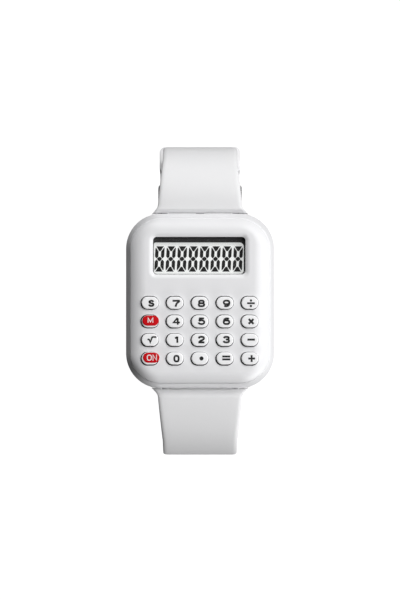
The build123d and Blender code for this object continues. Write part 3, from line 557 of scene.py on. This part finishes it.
dish_profile_shares = [(1.06, 0.0), (1.0, 0.0), (0.82, -0.035), (0.64, -0.14), (0.46, -0.31),
                       (0.29, -0.55), (0.14, -0.78), (0.05, -0.91), (0.01, -0.98), (0.0, -1.06)]
dish_width = 1.25 * mm
dish_depth = 0.5 * mm
dish_steps = 12
pill_steps = 14


def node_centre(name):
    """The centre of a carried node, seen from the front."""
    low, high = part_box(name)
    return (low.x + high.x) / 2, (low.y + high.y) / 2


def pill_loop(length, width, z, x, y):
    """One ring of a pill outline."""
    return rounded_loop(length, width, width / 2, z, x, y, pill_steps)


def as_data(mesh):
    """Turn a helper mesh into mesh data for cutting."""
    data = bpy.data.meshes.new("cutter")
    bmesh.ops.recalc_face_normals(mesh, faces=mesh.faces)
    mesh.to_mesh(data)
    mesh.free()
    return data


def cut_away(piece, cutters, sharp=35.0):
    """Cut the space of some helper meshes out of a piece, for good."""
    for cutter in cutters:
        tool = bpy.data.objects.new("cutter", cutter)
        bpy.context.scene.collection.objects.link(tool)
        cut = piece.modifiers.new(tool.name, "BOOLEAN")
        cut.operation = "DIFFERENCE"
        cut.solver = "EXACT"
        cut.object = tool
    bpy.context.view_layer.update()
    data = bpy.data.meshes.new_from_object(
        piece.evaluated_get(bpy.context.evaluated_depsgraph_get()))
    for cut in list(piece.modifiers):
        bpy.data.objects.remove(cut.object)
        piece.modifiers.remove(cut)
    piece.data = data
    data.shade_smooth()
    data.set_sharp_from_angle(angle=radians(sharp))


def front_loop(inset, z):
    """One ring of the front shell, whose roll is narrower at the ends than at the sides."""
    past = inset - skirt_inset
    return rounded_loop(
        case_width - 2 * inset,
        case_length - 2 * (skirt_inset + end_slope + past * roll_end_share),
        case_corner - skirt_inset - past * roll_corner_share, z)


dial = bmesh.new()
edge = [case_loop(shell_wall, dial_z - front_wall),
        case_loop(shell_wall, rim_z + skirt_gap),
        case_loop(skirt_inset + skirt_edge, rim_z + skirt_gap),
        case_loop(skirt_inset, rim_z + skirt_gap + skirt_edge)]
roll_radius = (roll_width ** 2 + roll_drop ** 2) / (2 * roll_drop)
for step in range(roll_steps + 1):
    turn = (1 - step / roll_steps) * asin(roll_width / roll_radius)
    edge.append(front_loop(skirt_inset + roll_width - roll_radius * sin(turn),
                           dial_z - roll_radius * (1 - cos(turn))))
edge.append(front_loop(skirt_inset + roll_width + flat_guard, dial_z))
dial_rings = skin(dial, edge)
dish_profile = [(out * dish_width, dial_z + drop * dish_depth) for out, drop in dish_profile_shares]
dish_rings = skin(dial, [
    rounded_loop(window_width + 2 * reach, window_length + 2 * reach, window_corner + reach, z,
                 window_x, window_y, dish_steps)
    for reach, z in dish_profile + [(0.0, dial_z - front_wall)]])
fill_flat(dial, dial_rings[-1], [dish_rings[0]])
fill_flat(dial, dial_rings[0], [dish_rings[-1]])
front_shell = finish_piece("front_shell_moulding", dial, white_case, "case", "white_case",
                           ["front_shell"])
key_holes = bmesh.new()
keypad_y = sum(node_centre(name)[1] for name in key_names) / len(key_names)
for name in key_names:
    key_x, key_y = node_centre(name)
    hole_x = key_x + hole_shift[0]
    hole_y = key_y + hole_shift[1] + (key_y - keypad_y) * hole_spread_share
    close_ends(key_holes, skin(key_holes, [
        pill_loop(hole_length + 2 * grow, hole_width + 2 * grow, dial_z + rise, hole_x, hole_y)
        for grow, rise in ((0.0, -2 * front_wall), (0.0, -hole_lip),
                           (hole_lip * edge_share, -hole_lip * edge_share), (hole_lip, 0.0),
                           (hole_lip, front_wall))]))
cut_away(front_shell, [as_data(key_holes)], sharp=15.0)

# Keys. Gloss ABS pills, each on a flange that stops under the dial and a plunger over its rubber
# dome; flange and plunger are black as painted shade, darkening the gap round each key. Eighteen are
# white; the two red ones have a red pad moulded onto a white base.
key_low, key_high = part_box("key_7")
key_length = 4.5 * mm
key_width = 3.25 * mm
key_edge = 0.28 * mm
key_crown = 0.05 * mm
print_height = 0.03 * mm
plunger_radius = 1.0 * mm
flange_margin = 0.5 * mm
flange_low = 8.6 * mm
flange_high = 9.15 * mm
cap_root = 0.15 * mm
key_top = key_high.z - print_height
pad_length = 4.40 * mm
pad_width = 2.72 * mm
pad_shift = 0.20 * mm
pad_drop = 0.20 * mm
pad_root = 0.10 * mm
edge_steps = 7
crown_shares = (0.75, 0.5, 0.25)
crown_ridge = key_length * 0.25
red_keys = ("key_m", "key_on")
pad_sides = {"key_m": 0.14 * mm, "key_on": 0.32 * mm}
white_key = moulded("white gloss key", (0.89, 0.89, 0.895), (0.87, 0.87, 0.88),
                    grain=(4200.0, 0.05), rough=(0.26, 0.36), specular_ior_level=0.5)
# Painted shade: the key feet are black so the gaps round the keys read dark.
foot_painted_gap_shade = moulded("black key foot painted gap shade", (0.012, 0.012, 0.012), (0.02, 0.02, 0.02),
                     grain=(5000.0, 0.2), rough=(0.5, 0.7), specular_ior_level=0.3)
red_key = moulded("red gloss key", (0.62, 0.004, 0.010), (0.52, 0.004, 0.008),
                  grain=(4200.0, 0.05), rough=(0.30, 0.42), specular_ior_level=0.2)


def solid_piece(name, loops, *finish):
    """A finished piece skinned from rings and closed at both ends."""
    mesh = bmesh.new()
    close_ends(mesh, skin(mesh, loops))
    finish_piece(name, mesh, *finish)


def rolled_top(length, width, x, y, low, high, edge, crown):
    """Rings of a pill from its foot up its wall, over a rolled edge to a slight crown."""
    rings = [pill_loop(length, width, low, x, y), pill_loop(length, width, high - edge, x, y)]
    for step in range(1, edge_steps + 1):
        turn = step / edge_steps * pi / 2
        inset = 2 * edge * (1 - cos(turn))
        rings.append(pill_loop(length - inset, width - inset,
                               high - crown - edge + edge * sin(turn), x, y))
    for share in crown_shares:
        rings.append(pill_loop((length - 2 * edge) * share + crown_ridge * (1 - share),
                               (width - 2 * edge) * share, high - crown * share ** 2, x, y))
    return rings


for name in key_names:
    key_x, key_y = node_centre(name)
    body = f"{name}_body"
    red = name in red_keys
    cap_high = key_top - pad_drop if red else key_top
    solid_piece(f"foot_of_{name}", [
        pill_loop(2 * plunger_radius, 2 * plunger_radius, z, key_x, key_y)
        for z in (key_low.z, flange_low)] + [
        pill_loop(key_length + 2 * flange_margin, key_width + 2 * flange_margin, z, key_x, key_y)
        for z in (flange_low, flange_high)], foot_painted_gap_shade, body, "contact_rubber")
    solid_piece(f"cap_of_{name}", rolled_top(
        key_length, key_width, key_x, key_y, flange_high - cap_root, cap_high, key_edge,
        key_crown), white_key, body, "red_key" if red else "white_key", [name])
    if red:
        solid_piece(f"pad_of_{name}", rolled_top(
            pad_length, pad_width, key_x + pad_sides[name], key_y + pad_shift,
            cap_high - pad_root, key_top, pad_drop, key_crown), red_key, body, "red_key")

# Key legends. Pad printed figures and signs, a little right of each key's middle: black on the
# white keys, white on the red ones. Each is drawn by its strokes, in shares of its own half size.
legend_steps = 6
least_mitre = 0.55
print_low = key_top - print_height
print_high = key_top + print_height * 0.8
stroke_lift = 0.0012 * mm
black_print = moulded("black print", (0.010, 0.010, 0.011), (0.018, 0.018, 0.018),
                      grain=(9000.0, 0.05), rough=(0.30, 0.42))
white_print = moulded("white print", (0.86, 0.85, 0.85), (0.80, 0.79, 0.79),
                      grain=(9000.0, 0.05), rough=(0.30, 0.42))
round_shares = [(0, 1), (0.72, 0.82), (1, 0), (0.72, -0.82), (0, -1), (-0.72, -0.82), (-1, 0),
                (-0.72, 0.82)]


def smooth_stroke(points, closed=False):
    """A soft curve through the points of a stroke."""
    count = len(points)
    result = []
    spans = count if closed else count - 1
    for i in range(spans):
        a, b, c, d = (points[(i + k) % count] if closed else
                      points[min(max(i + k, 0), count - 1)] for k in (-1, 0, 1, 2))
        for step in range(legend_steps):
            t = step / legend_steps
            result.append(tuple(
                (2 * b[n] + (c[n] - a[n]) * t + (2 * a[n] - 5 * b[n] + 4 * c[n] - d[n]) * t ** 2
                 + (3 * b[n] - a[n] - 3 * c[n] + d[n]) * t ** 3) / 2 for n in (0, 1)))
    if not closed:
        result.append(points[-1])
    return result


def oval(y, height, width=1.0):
    """A closed round stroke about a point on the figure's middle."""
    return smooth_stroke([(a * width, y + b * height) for a, b in round_shares], True), True


def line(*points):
    """A stroke of straight runs."""
    return list(points), False


def curve(*points):
    """A stroke that bends softly through its points."""
    return smooth_stroke(list(points)), False


six_strokes = [oval(-0.36, 0.64), curve((0.80, 0.74), (0.42, 0.98), (-0.15, 0.98), (-0.72, 0.66),
                                        (-0.98, 0.05), (-1.0, -0.4))]
glyph_shares = {
    "0": [oval(0, 1.0, 0.86)],
    "1": [line((0.42, 1.1), (0.42, -1.22)), curve((-0.62, 0.56), (-0.05, 0.62), (0.40, 1.0))],
    "2": [curve((-0.92, 0.42), (-0.72, 0.86), (0, 1.0), (0.78, 0.82), (0.88, 0.36), (0.42, -0.10),
                (-0.32, -0.46), (-0.86, -0.98)), line((-1.08, -1.0), (1.08, -1.0))],
    "3": [curve((-0.90, 0.52), (-0.64, 0.90), (0, 1.0), (0.72, 0.84), (0.78, 0.36), (0.42, 0.08),
                (-0.20, 0.04)),
          curve((-0.20, 0.04), (0.52, 0.0), (0.94, -0.38), (0.76, -0.84), (0, -1.0),
                (-0.76, -0.88), (-0.98, -0.44))],
    "4": [line((0.36, 1.2), (-1.02, -0.42), (1.16, -0.42)), line((0.42, 1.0), (0.42, -1.22))],
    "5": [line((0.92, 1.0), (-0.62, 1.0), (-0.80, 0.02)),
          curve((-0.82, 0.0), (-0.30, 0.32), (0.40, 0.30), (0.94, -0.10), (0.90, -0.66),
                (0.36, -0.98), (-0.36, -0.98), (-0.90, -0.66), (-0.98, -0.40))],
    "6": six_strokes,
    "7": [line((-1.16, 1.0), (1.0, 1.0)), curve((1.0, 0.98), (0.30, 0.30), (-0.10, -0.40),
                                                (-0.26, -1.2))],
    "8": [oval(0.52, 0.48, 0.84), oval(-0.46, 0.54, 0.98)],
    "9": [([(-x, -y) for x, y in points], closed) for points, closed in six_strokes],
    "S": [curve((0.86, 0.52), (0.58, 0.94), (-0.10, 1.02), (-0.78, 0.80), (-0.80, 0.34),
                (-0.10, 0.06), (0.70, -0.18), (0.92, -0.58), (0.56, -0.96), (-0.16, -1.02),
                (-0.80, -0.84), (-0.98, -0.44))],
    "M": [line((-0.92, -1.2), (-0.92, 1.0), (0, -0.86), (0.92, 1.0), (0.92, -1.2))],
    "O": [oval(0, 1.0, 1.0)],
    "N": [line((-0.80, -1.2), (-0.80, 1.0), (0.80, -1.0), (0.80, 1.2))],
    "root": [line((-1.15, -0.02), (-0.72, 0.22)), line((-0.72, 0.22), (-0.42, -1.0), (-0.02, 0.60)),
             curve((-0.05, 0.50), (0.12, 0.92), (0.45, 1.0), (0.60, 1.0)),
             line((0.55, 1.0), (1.22, 1.0))],
    "bar": [line((-1, 0), (1, 0))],
    "two bars": [line((-1, 1), (1, 1)), line((-1, -1), (1, -1))],
    "plus": [line((-1, 0), (1, 0)), line((0, -1), (0, 1))],
    "cross": [line((-1, -1), (1, 1)), line((-1, 1), (1, -1))],
}


def add_stroke(mesh, points, closed, width, low, high):
    """Build one stroke of a legend as a flat ribbon with mitred corners."""
    count = len(points)
    rails = []
    for i, (x, y) in enumerate(points):
        before = Vector(points[i - 1]) if i or closed else None
        after = Vector(points[(i + 1) % count]) if i < count - 1 or closed else None
        here = Vector((x, y))
        ways = [(b - a).normalized() for a, b in ((before, here), (here, after)) if a and b]
        side = sum(ways, Vector((0, 0))).normalized()
        side = Vector((-side.y, side.x))
        mitre = max(least_mitre, side.dot(Vector((-ways[0].y, ways[0].x))))
        reach = side * width / 2 / mitre
        rails.append([(here.x + reach.x, here.y + reach.y, low),
                      (here.x + reach.x, here.y + reach.y, high),
                      (here.x - reach.x, here.y - reach.y, high),
                      (here.x - reach.x, here.y - reach.y, low)])
    rings = [add_loop(mesh, rail) for rail in rails]
    if closed:
        rings.append(rings[0])
    skin(mesh, rings)
    if not closed:
        close_ends(mesh, rings)


# Key, figure, its middle's shift from the key's middle, its size and stroke, in millimetres.
legend_rows = [
    ("key_s", "S", (0.36, -0.14), (1.66, 1.82), 0.50),
    ("key_7", "7", (0.40, -0.17), (2.30, 1.92), 0.50),
    ("key_8", "8", (0.39, -0.15), (1.98, 1.96), 0.50),
    ("key_9", "9", (0.42, -0.15), (1.98, 1.96), 0.50),
    ("key_divide", "bar", (0.26, -0.10), (2.46, 0.40), 0.46),
    ("key_4", "4", (0.40, 0.02), (2.02, 1.96), 0.46),
    ("key_5", "5", (0.40, 0.04), (1.96, 1.96), 0.47),
    ("key_6", "6", (0.42, 0.04), (1.98, 1.96), 0.50),
    ("key_multiply", "cross", (0.31, -0.02), (1.80, 1.80), 0.52),
    ("key_root", "root", (0.50, 0.06), (2.40, 1.84), 0.42),
    ("key_1", "1", (0.36, 0.12), (1.70, 1.92), 0.50),
    ("key_2", "2", (0.38, 0.08), (2.00, 1.96), 0.50),
    ("key_3", "3", (0.38, 0.08), (1.98, 1.96), 0.50),
    ("key_minus", "bar", (0.32, 0.08), (2.50, 0.40), 0.52),
    ("key_0", "0", (0.40, -0.04), (1.86, 1.96), 0.48),
    ("key_equals", "two bars", (0.34, 0.14), (2.60, 1.24), 0.48),
    ("key_plus", "plus", (0.44, -0.02), (2.30, 2.30), 0.50),
    ("key_m", "M", (0.12, 0.36), (1.64, 1.42), 0.26),
    ("key_on", "O", (-0.19, 0.22), (1.34, 1.62), 0.24),
    ("key_on", "N", (1.26, 0.22), (1.40, 1.62), 0.22),
]
legends = {name: bmesh.new() for name in key_names}
for name, glyph, (shift_x, shift_y), (width, height), stroke in legend_rows:
    centre_x, centre_y = node_centre(name)
    centre_x += shift_x * mm
    centre_y += shift_y * mm
    half_x = (width - stroke) * mm / 2
    half_y = (height - stroke) * mm / 2
    for lift, (points, closed) in enumerate(glyph_shares[glyph]):
        add_stroke(legends[name], [(centre_x + half_x * x, centre_y + half_y * y)
                                   for x, y in points], closed, stroke * mm,
                   print_low, print_high - stroke_lift * lift)
for name, shift_x, shift_y, radius in (("key_point", 0.40, 0.0, 0.54),
                                       ("key_divide", 0.26, 0.62, 0.30),
                                       ("key_divide", 0.26, -0.82, 0.30)):
    centre_x, centre_y = node_centre(name)
    close_ends(legends[name], skin(legends[name], [
        circle(centre_x + shift_x * mm, centre_y + shift_y * mm, z, radius * mm)
        for z in (print_low, print_high)]))
for name, legend in legends.items():
    red = name in red_keys
    finish_piece(f"legend_of_{name}", legend, white_print if red else black_print,
                 f"{name}_body", "white_key" if red else "display_ink")

# Strap. Two halves of pale silicone, moulded to the curve of the wrist. Each root is thick, hugs the
# end of the case and takes the spring bar; pockets in it clear the ears.
root_radius = 2.3 * mm
root_top = bar_z + root_radius
strap_thickness = 2.3 * mm
strap_reach = 42.5 * mm
bend_radius = strap_reach - bar_y
bend_z = root_top - bend_radius
drop_radius = 112.0 * mm
buckle_drop = radians(22.0)
tail_drop = radians(8.0)
blend_turn = radians(40.0)
pin_low, pin_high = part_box("buckle_bar")
pin_y = (pin_low.y + pin_high.y) / 2
pin_z = (pin_low.z + pin_high.z) / 2
surface_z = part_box("strap_lower")[0].z
strap_half = 10.1 * mm
nose_gap = 0.15 * mm
nose_dip = 0.85 * mm
nose_power = 1.3
flare_half = 13.0 * mm
neck_half = 11.3 * mm
flare_length = 2.3 * mm
flare_power = 2.1
taper_end = 38.5 * mm
hug_length = 3.0 * mm
outer_edge = (1.3 * mm, 0.5 * mm)
inner_edge = (0.6 * mm, 0.35 * mm)
across_steps = 12
edge_turns = 5
end_steps = 8
root_steps = 9
bend_steps = 36
drop_steps = 32
sweep_steps = 40
flat_steps = 12
knuckle_steps = 14
most_edge_share = 0.45
knuckle_radius = 2.0 * mm
silicone = moulded("pale silicone", (0.775, 0.775, 0.78), (0.745, 0.745, 0.755),
                   grain=(4600.0, 0.14), rough=(0.44, 0.58), specular_ior_level=0.4)


def strap_half_width(y, z):
    """Half the strap's width: flared at the case, then tapered to the plain width below it."""
    if z < bend_z:
        return strap_half
    nose = case_length / 2 + nose_gap
    flare = max(0.0, 1 - (y - nose) / flare_length) ** flare_power
    taper = min(1.0, max(0.0, (y - nose - flare_length) / (taper_end - nose - flare_length)))
    return neck_half + (flare_half - neck_half) * flare + (strap_half - neck_half) * taper


def hug_case(x, y, z):
    """How far the strap's root reaches past its line to follow the corner of the case."""
    past = abs(x) - (case_width / 2 - case_corner)
    if past <= 0 or z < bend_z:
        return 0.0
    drop = case_corner - sqrt(max(0.0, case_corner ** 2 - past ** 2))
    return drop * max(0.0, 1 - (y - case_length / 2) / hug_length)


def strap_stations(drop_turn, tail, nose_run):
    """Stations down a strap half: outer point (y, z), outward normal and thickness."""
    nose = case_length / 2 + nose_gap
    stations = []
    for step in range(end_steps + 1):
        along = step / end_steps
        dip = nose_dip * (1 - along) ** nose_power
        stations.append((nose + nose_run * along, root_top - dip, 0.0, 1.0,
                         2 * root_radius - dip))
    for step in range(1, root_steps):
        stations.append((nose + nose_run + (bar_y - nose - nose_run) * step / root_steps, root_top,
                         0.0, 1.0, 2 * root_radius))
    blend_y = bar_y + (bend_radius - strap_thickness) * sin(blend_turn)
    blend_z = bend_z + (bend_radius - strap_thickness) * cos(blend_turn)
    for step in range(bend_steps + 1):
        turn = pi / 2 * step / bend_steps
        out_y, out_z = sin(turn), cos(turn)
        thickness = strap_thickness
        if turn < blend_turn:
            run_y, run_z = blend_y - bar_y, blend_z - (bar_z - root_radius)
            lever = run_y * (bar_z - root_radius - bend_z)
            thickness = bend_radius - lever / (run_y * out_z - run_z * out_y)
        stations.append((bar_y + bend_radius * out_y, bend_z + bend_radius * out_z, out_y, out_z,
                         thickness))
    for step in range(1, drop_steps + 1):
        turn = drop_turn * step / drop_steps
        out_y, out_z = cos(turn), -sin(turn)
        stations.append((strap_reach - drop_radius + drop_radius * out_y,
                         bend_z + drop_radius * out_z, out_y, out_z, strap_thickness))
    if tail:
        last_y, last_z = stations[-1][0], stations[-1][1]
        sweep_radius = (last_z - surface_z) / (1 - sin(drop_turn))
        centre_y = last_y - sweep_radius * cos(drop_turn)
        for step in range(1, sweep_steps + 1):
            turn = drop_turn + (pi / 2 - drop_turn) * step / sweep_steps
            stations.append((centre_y + sweep_radius * cos(turn),
                             surface_z + sweep_radius * (1 - sin(turn)), cos(turn), -sin(turn),
                             strap_thickness))
        for step in range(1, flat_steps + 1):
            stations.append((centre_y - tail_flat * step / flat_steps, surface_z, 0.0, -1.0,
                             strap_thickness))
    return stations


def strap_ring(station, end, half=None, edge=1.0):
    """One cross-section of a strap: a flat pill of points with rounded edges."""
    y, z, out_y, out_z, depth = station
    wide = half or strap_half_width(y, z)
    most = depth * most_edge_share
    out_x, out_d = outer_edge[0] * edge, min(outer_edge[1] * edge, most)
    in_x, in_d = inner_edge[0] * edge, min(inner_edge[1] * edge, most)
    section = []
    for side_x, level, run, dip, start in (
            (1, 0.0, out_x, -out_d, pi / 2), (1, -depth, in_x, in_d, 0.0),
            (-1, -depth, in_x, in_d, -pi / 2), (-1, 0.0, out_x, -out_d, -pi)):
        for step in range(edge_turns + 1):
            turn = start - pi / 2 * step / edge_turns
            section.append((side_x * (wide - run) + run * cos(turn),
                            level + dip + abs(dip) * sin(turn)))
        if start <= 0.0 and side_x > 0:
            section += [((wide - run) * (1 - 2 * step / across_steps), level)
                        for step in range(1, across_steps)]
    section += [((out_x - wide) * (1 - 2 * step / across_steps), 0.0)
                for step in range(1, across_steps)]
    ring = []
    for x, d in section:
        point_y, point_z = y + out_y * d, z + out_z * d
        ring.append((x, end * (point_y - hug_case(x, point_y, point_z)), point_z))
    return ring


def close_strap(mesh, rings):
    """Close a strap half: strips across its nose, which bends with the case, and a flat tip."""
    nose, tip = rings[0], rings[-1]
    side = 2 * (edge_turns + 1)
    rounds = [mesh.faces.new(nose[:side]),
              mesh.faces.new(nose[side + across_steps - 1:2 * side + across_steps - 1])]
    for step in range(across_steps):
        mesh.faces.new((nose[-step], nose[side - 1 + step], nose[side + step], nose[-step - 1]))
    bmesh.ops.triangulate(mesh, faces=rounds + [mesh.faces.new(tip)])


def block(low, high):
    """A helper block for cutting."""
    mesh = bmesh.new()
    middle = (Vector(low) + Vector(high)) / 2
    size = Vector(high) - Vector(low)
    bmesh.ops.create_cube(mesh, size=1.0, matrix=Matrix.Translation(middle)
                          @ Matrix.Diagonal((*size, 1)))
    return as_data(mesh)


def rod(start, end, radius):
    """A helper rod for cutting, from one point to another."""
    mesh = bmesh.new()
    way = Vector(end) - Vector(start)
    middle = (Vector(start) + Vector(end)) / 2
    bmesh.ops.create_cone(mesh, cap_ends=True, segments=bore_sides, radius1=radius, radius2=radius,
                          depth=way.length, matrix=Matrix.Translation(middle)
                          @ way.to_track_quat("Z", "Y").to_matrix().to_4x4())
    return as_data(mesh)


bore_radius = 0.8 * mm
bore_sides = 40
pocket_near = case_length / 2 - 1.5 * mm
pocket_mouth = bar_y - 1.4 * mm
pocket_far = bar_y + 1.7 * mm
pocket_gap = 0.2 * mm
pocket_rise = 1.45 * mm
mouth_rise = 1.30 * mm
pocket_lap = 0.02 * mm


def root_cutters(end):
    """The spring bar's bore and the two pockets for the ears in a strap's root."""
    cutters = [rod((-flare_half, end * bar_y, bar_z), (flare_half, end * bar_y, bar_z),
                   bore_radius)]
    for side in (-1, 1):
        span = sorted((side * (ear_inner - pocket_gap), side * (ear_outer + pocket_gap)))
        for start, stop, rise in ((pocket_near, pocket_mouth, mouth_rise),
                                  (pocket_mouth - pocket_lap, pocket_far, pocket_rise)):
            reach = sorted((end * start, end * stop))
            cutters.append(block((span[0], reach[0], bar_z - 2 * root_radius),
                                 (span[1], reach[1], bar_z + rise)))
    return cutters


tail_flat = 15.0 * mm
tail_corner = 7.0 * mm
tongue_gap = 1.6 * mm
slot_reach = 5.5 * mm
knuckle_edge = 0.4
least_depth = 0.1 * mm
hole_count = 7
hole_start = 18.0 * mm
hole_pitch = 6.5 * mm
hole_radius = 1.05 * mm
hole_reach = 5.0 * mm

upper = bmesh.new()
stations = strap_stations(buckle_drop, False, nose_run=1.0 * mm)
knuckle = []
for step in range(1, knuckle_steps + 1):
    ahead = knuckle_radius * (1 - 2 * (knuckle_steps - step) / knuckle_steps)
    turn = buckle_drop + ahead / drop_radius
    swell = sqrt(max(0.0, knuckle_radius ** 2 - ahead ** 2))
    half_depth = max(swell, strap_thickness / 2 if ahead < 0 else least_depth)
    out_y, out_z = cos(turn), -sin(turn)
    reach = drop_radius - strap_thickness / 2 + half_depth
    knuckle.append((strap_reach - drop_radius + reach * out_y, bend_z + reach * out_z,
                    out_y, out_z, 2 * half_depth))
stations = [s for s in stations if s[1] > pin_z + knuckle_radius * 1.05] + knuckle
close_strap(upper, skin(upper, [strap_ring(s, 1, edge=knuckle_edge if s in knuckle else 1.0)
                                for s in stations]))
strap_upper = finish_piece("strap_buckle_half", upper, silicone, "upper_strap", "strap_silicone",
                           ["strap_upper"])
cut_away(strap_upper, root_cutters(1) + [
    rod((-tongue_gap, pin_y, pin_z), (tongue_gap, pin_y, pin_z), slot_reach),
    rod((-strap_half * 2, pin_y, pin_z), (strap_half * 2, pin_y, pin_z), bore_radius)])

lower = bmesh.new()
stations = strap_stations(tail_drop, True, nose_run=2.3 * mm)
rings = [strap_ring(s, -1) for s in stations[:-flat_steps]]
for s in stations[-flat_steps:]:
    past = max(0.0, tail_corner - (s[0] - stations[-1][0]))
    rings.append(strap_ring(s, -1, half=strap_half - tail_corner
                            + sqrt(max(0.0, tail_corner ** 2 - past ** 2))))
close_strap(lower, skin(lower, rings))
strap_lower = finish_piece("strap_tail_half", lower, silicone, "lower_strap", "strap_silicone",
                           ["strap_lower"])
sweep_start = stations[-flat_steps - sweep_steps - 1]
sweep_radius = (sweep_start[1] - surface_z) / (1 - sin(tail_drop))
centre = Vector((0, -stations[-flat_steps - 1][0], surface_z + sweep_radius))
hole_cutters = []
for hole in range(hole_count):
    turn = (hole_start + hole * hole_pitch - tail_flat) / (sweep_radius - strap_thickness / 2)
    way = Vector((0, -sin(turn), -cos(turn)))
    hole_cutters.append(rod(centre + way * (sweep_radius - hole_reach),
                            centre + way * (sweep_radius + hole_reach), hole_radius))
cut_away(strap_lower, root_cutters(-1) + hole_cutters)

# Strap loops. Two closed bands of the same silicone: the one near the buckle is bonded in place,
# the other slides to hold the tail.
keeper_length = 5.0 * mm
keeper_wall = 1.2 * mm
keeper_room = (strap_half * 2 + 0.6 * mm, 2 * strap_thickness + 0.8 * mm)
keeper_corner = 0.5 * mm
keeper_edge = 0.3 * mm
keeper_play = 0.2 * mm
keeper_steps = 8
fixed_turn = radians(17.6)
free_turn = radians(12.4)


def strap_band(name, turn, body, stands_for):
    """A closed band round the strap, at an angle down its long drop."""
    out = Vector((0, cos(turn), -sin(turn)))
    along = Vector((0, -sin(turn), -cos(turn)))
    middle = (Vector((0, strap_reach - drop_radius, bend_z))
              + out * (drop_radius - strap_thickness / 2 + keeper_room[1] / 2
                       - strap_thickness / 2 - keeper_play))
    half = keeper_length / 2
    profile = soften([(0.0, half), (0.0, -half), (keeper_wall, -half), (keeper_wall, half),
                      (0.0, half), (0.0, -half)],
                     {1: keeper_edge, 2: keeper_edge, 3: keeper_edge, 4: keeper_edge})[1:-1]
    mesh = bmesh.new()
    rings = []
    for offset, shift in profile:
        outline = rounded_loop(keeper_room[0] + 2 * offset, keeper_room[1] + 2 * offset,
                               keeper_corner + offset, shift, steps=keeper_steps)
        rings.append([tuple(middle + Vector((x, 0, 0)) + out * y + along * z)
                      for x, y, z in outline])
    made = skin(mesh, rings)
    skin(mesh, [made[-1], made[0]])
    finish_piece(name, mesh, silicone, body, "strap_silicone", [stands_for])


strap_band("strap_loop_fixed", fixed_turn, "upper_strap", "keeper_fixed")
strap_band("strap_loop_free", free_turn, "loop", "keeper_free")

# Buckle. Brushed stainless steel: the frame and tongue turn on a bar through the strap's end.
buckle_steel = brushed("buckle steel", (0.56, 0.56, 0.57), (0.72, 0.72, 0.73),
                       grain=(6500.0, 0.14), rough=(0.34, 0.20), stretch=(0.04, 1.0, 1.0))
dress(["buckle_frame"], buckle_steel, bevel=0.35 * mm)
dress(["buckle_bar"], buckle_steel, bevel=0.15 * mm)
dress(["buckle_tongue"], buckle_steel, bevel=0.25 * mm)

# Studio. A pale floor, low enough for a swung strap to clear it, one long soft light from the
# right, small fills from the ends and an almost dark left, as the photograph shows.
scale_at_dial = 0.2675 * mm
picture_height = 600
case_pixels_up = 1.0
reference_z = 8.0 * mm
sensor_size = 36.0
lens_length = 120.0
clip_start = 0.01
floor_size = 3.0
floor_drop = 16.0 * mm
floor_glow = 0.98
world_light = 0.06
white = (1, 1, 1, 1)
# Name, place and size in metres, and power in watts, of each light; all face the case.
light_rows = [("right_softbox", (0.40, 0.30, 0.61), (1.1, 0.4), 8.2),
              ("twelve_fill", (-0.2, 0.68, 0.2), (0.5, 0.3), 1.3),
              ("six_fill", (0.48, -0.62, 0.1), (0.5, 0.3), 4.1)]


def light_for_camera(tree, strength, others, camera):
    """Set a light strength that the camera sees apart from the one that falls on the watch."""
    path = tree.nodes.new("ShaderNodeLightPath")
    scale = add_node(tree, "ShaderNodeMath", operation="MULTIPLY_ADD")
    scale.inputs[1].default_value = camera - others
    scale.inputs[2].default_value = others
    wire(tree, (path.outputs["Is Camera Ray"], scale.inputs[0]), (scale.outputs[0], strength))


def new_object(name, data, place):
    """Add an object with its data at a place."""
    made = bpy.data.objects.new(name, data)
    made.location = place
    bpy.context.scene.collection.objects.link(made)
    return made


sheet = bmesh.new()
bmesh.ops.create_grid(sheet, x_segments=1, y_segments=1, size=floor_size / 2)
floor_data = bpy.data.meshes.new("studio_floor")
sheet.to_mesh(floor_data)
sheet.free()
paper, paper_tree, paper_shader = new_material(
    "paper floor", base_color=(0.12, 0.12, 0.12, 1), roughness=0.9, emission_color=white)
light_for_camera(paper_tree, paper_shader.inputs["Emission Strength"], 0.0, floor_glow)
floor_data.materials.append(paper)
new_object("studio_floor", floor_data, (0, 0, surface_z - floor_drop))

for name, place, size, power in light_rows:
    lamp = bpy.data.lights.new(name, "AREA")
    lamp.shape = "RECTANGLE"
    lamp.size, lamp.size_y = size
    lamp.energy = power
    light = new_object(name, lamp, place)
    light.rotation_euler = (-Vector(place)).to_track_quat("-Z", "Y").to_euler()

world = bpy.data.worlds.new("studio")
world.use_nodes = True
sky = world.node_tree.nodes["Background"].inputs
sky["Color"].default_value = white
light_for_camera(world.node_tree, sky["Strength"], world_light, 1.0)
bpy.context.scene.world = world
bpy.context.scene.view_settings.view_transform = "Standard"

camera_data = bpy.data.cameras.new("camera")
camera_data.lens = lens_length
camera_data.sensor_width = sensor_size
camera_data.clip_start = clip_start
camera_distance = picture_height * scale_at_dial * lens_length / sensor_size
bpy.context.scene.camera = new_object(
    "camera", camera_data, (0, case_pixels_up * scale_at_dial, reference_z + camera_distance))
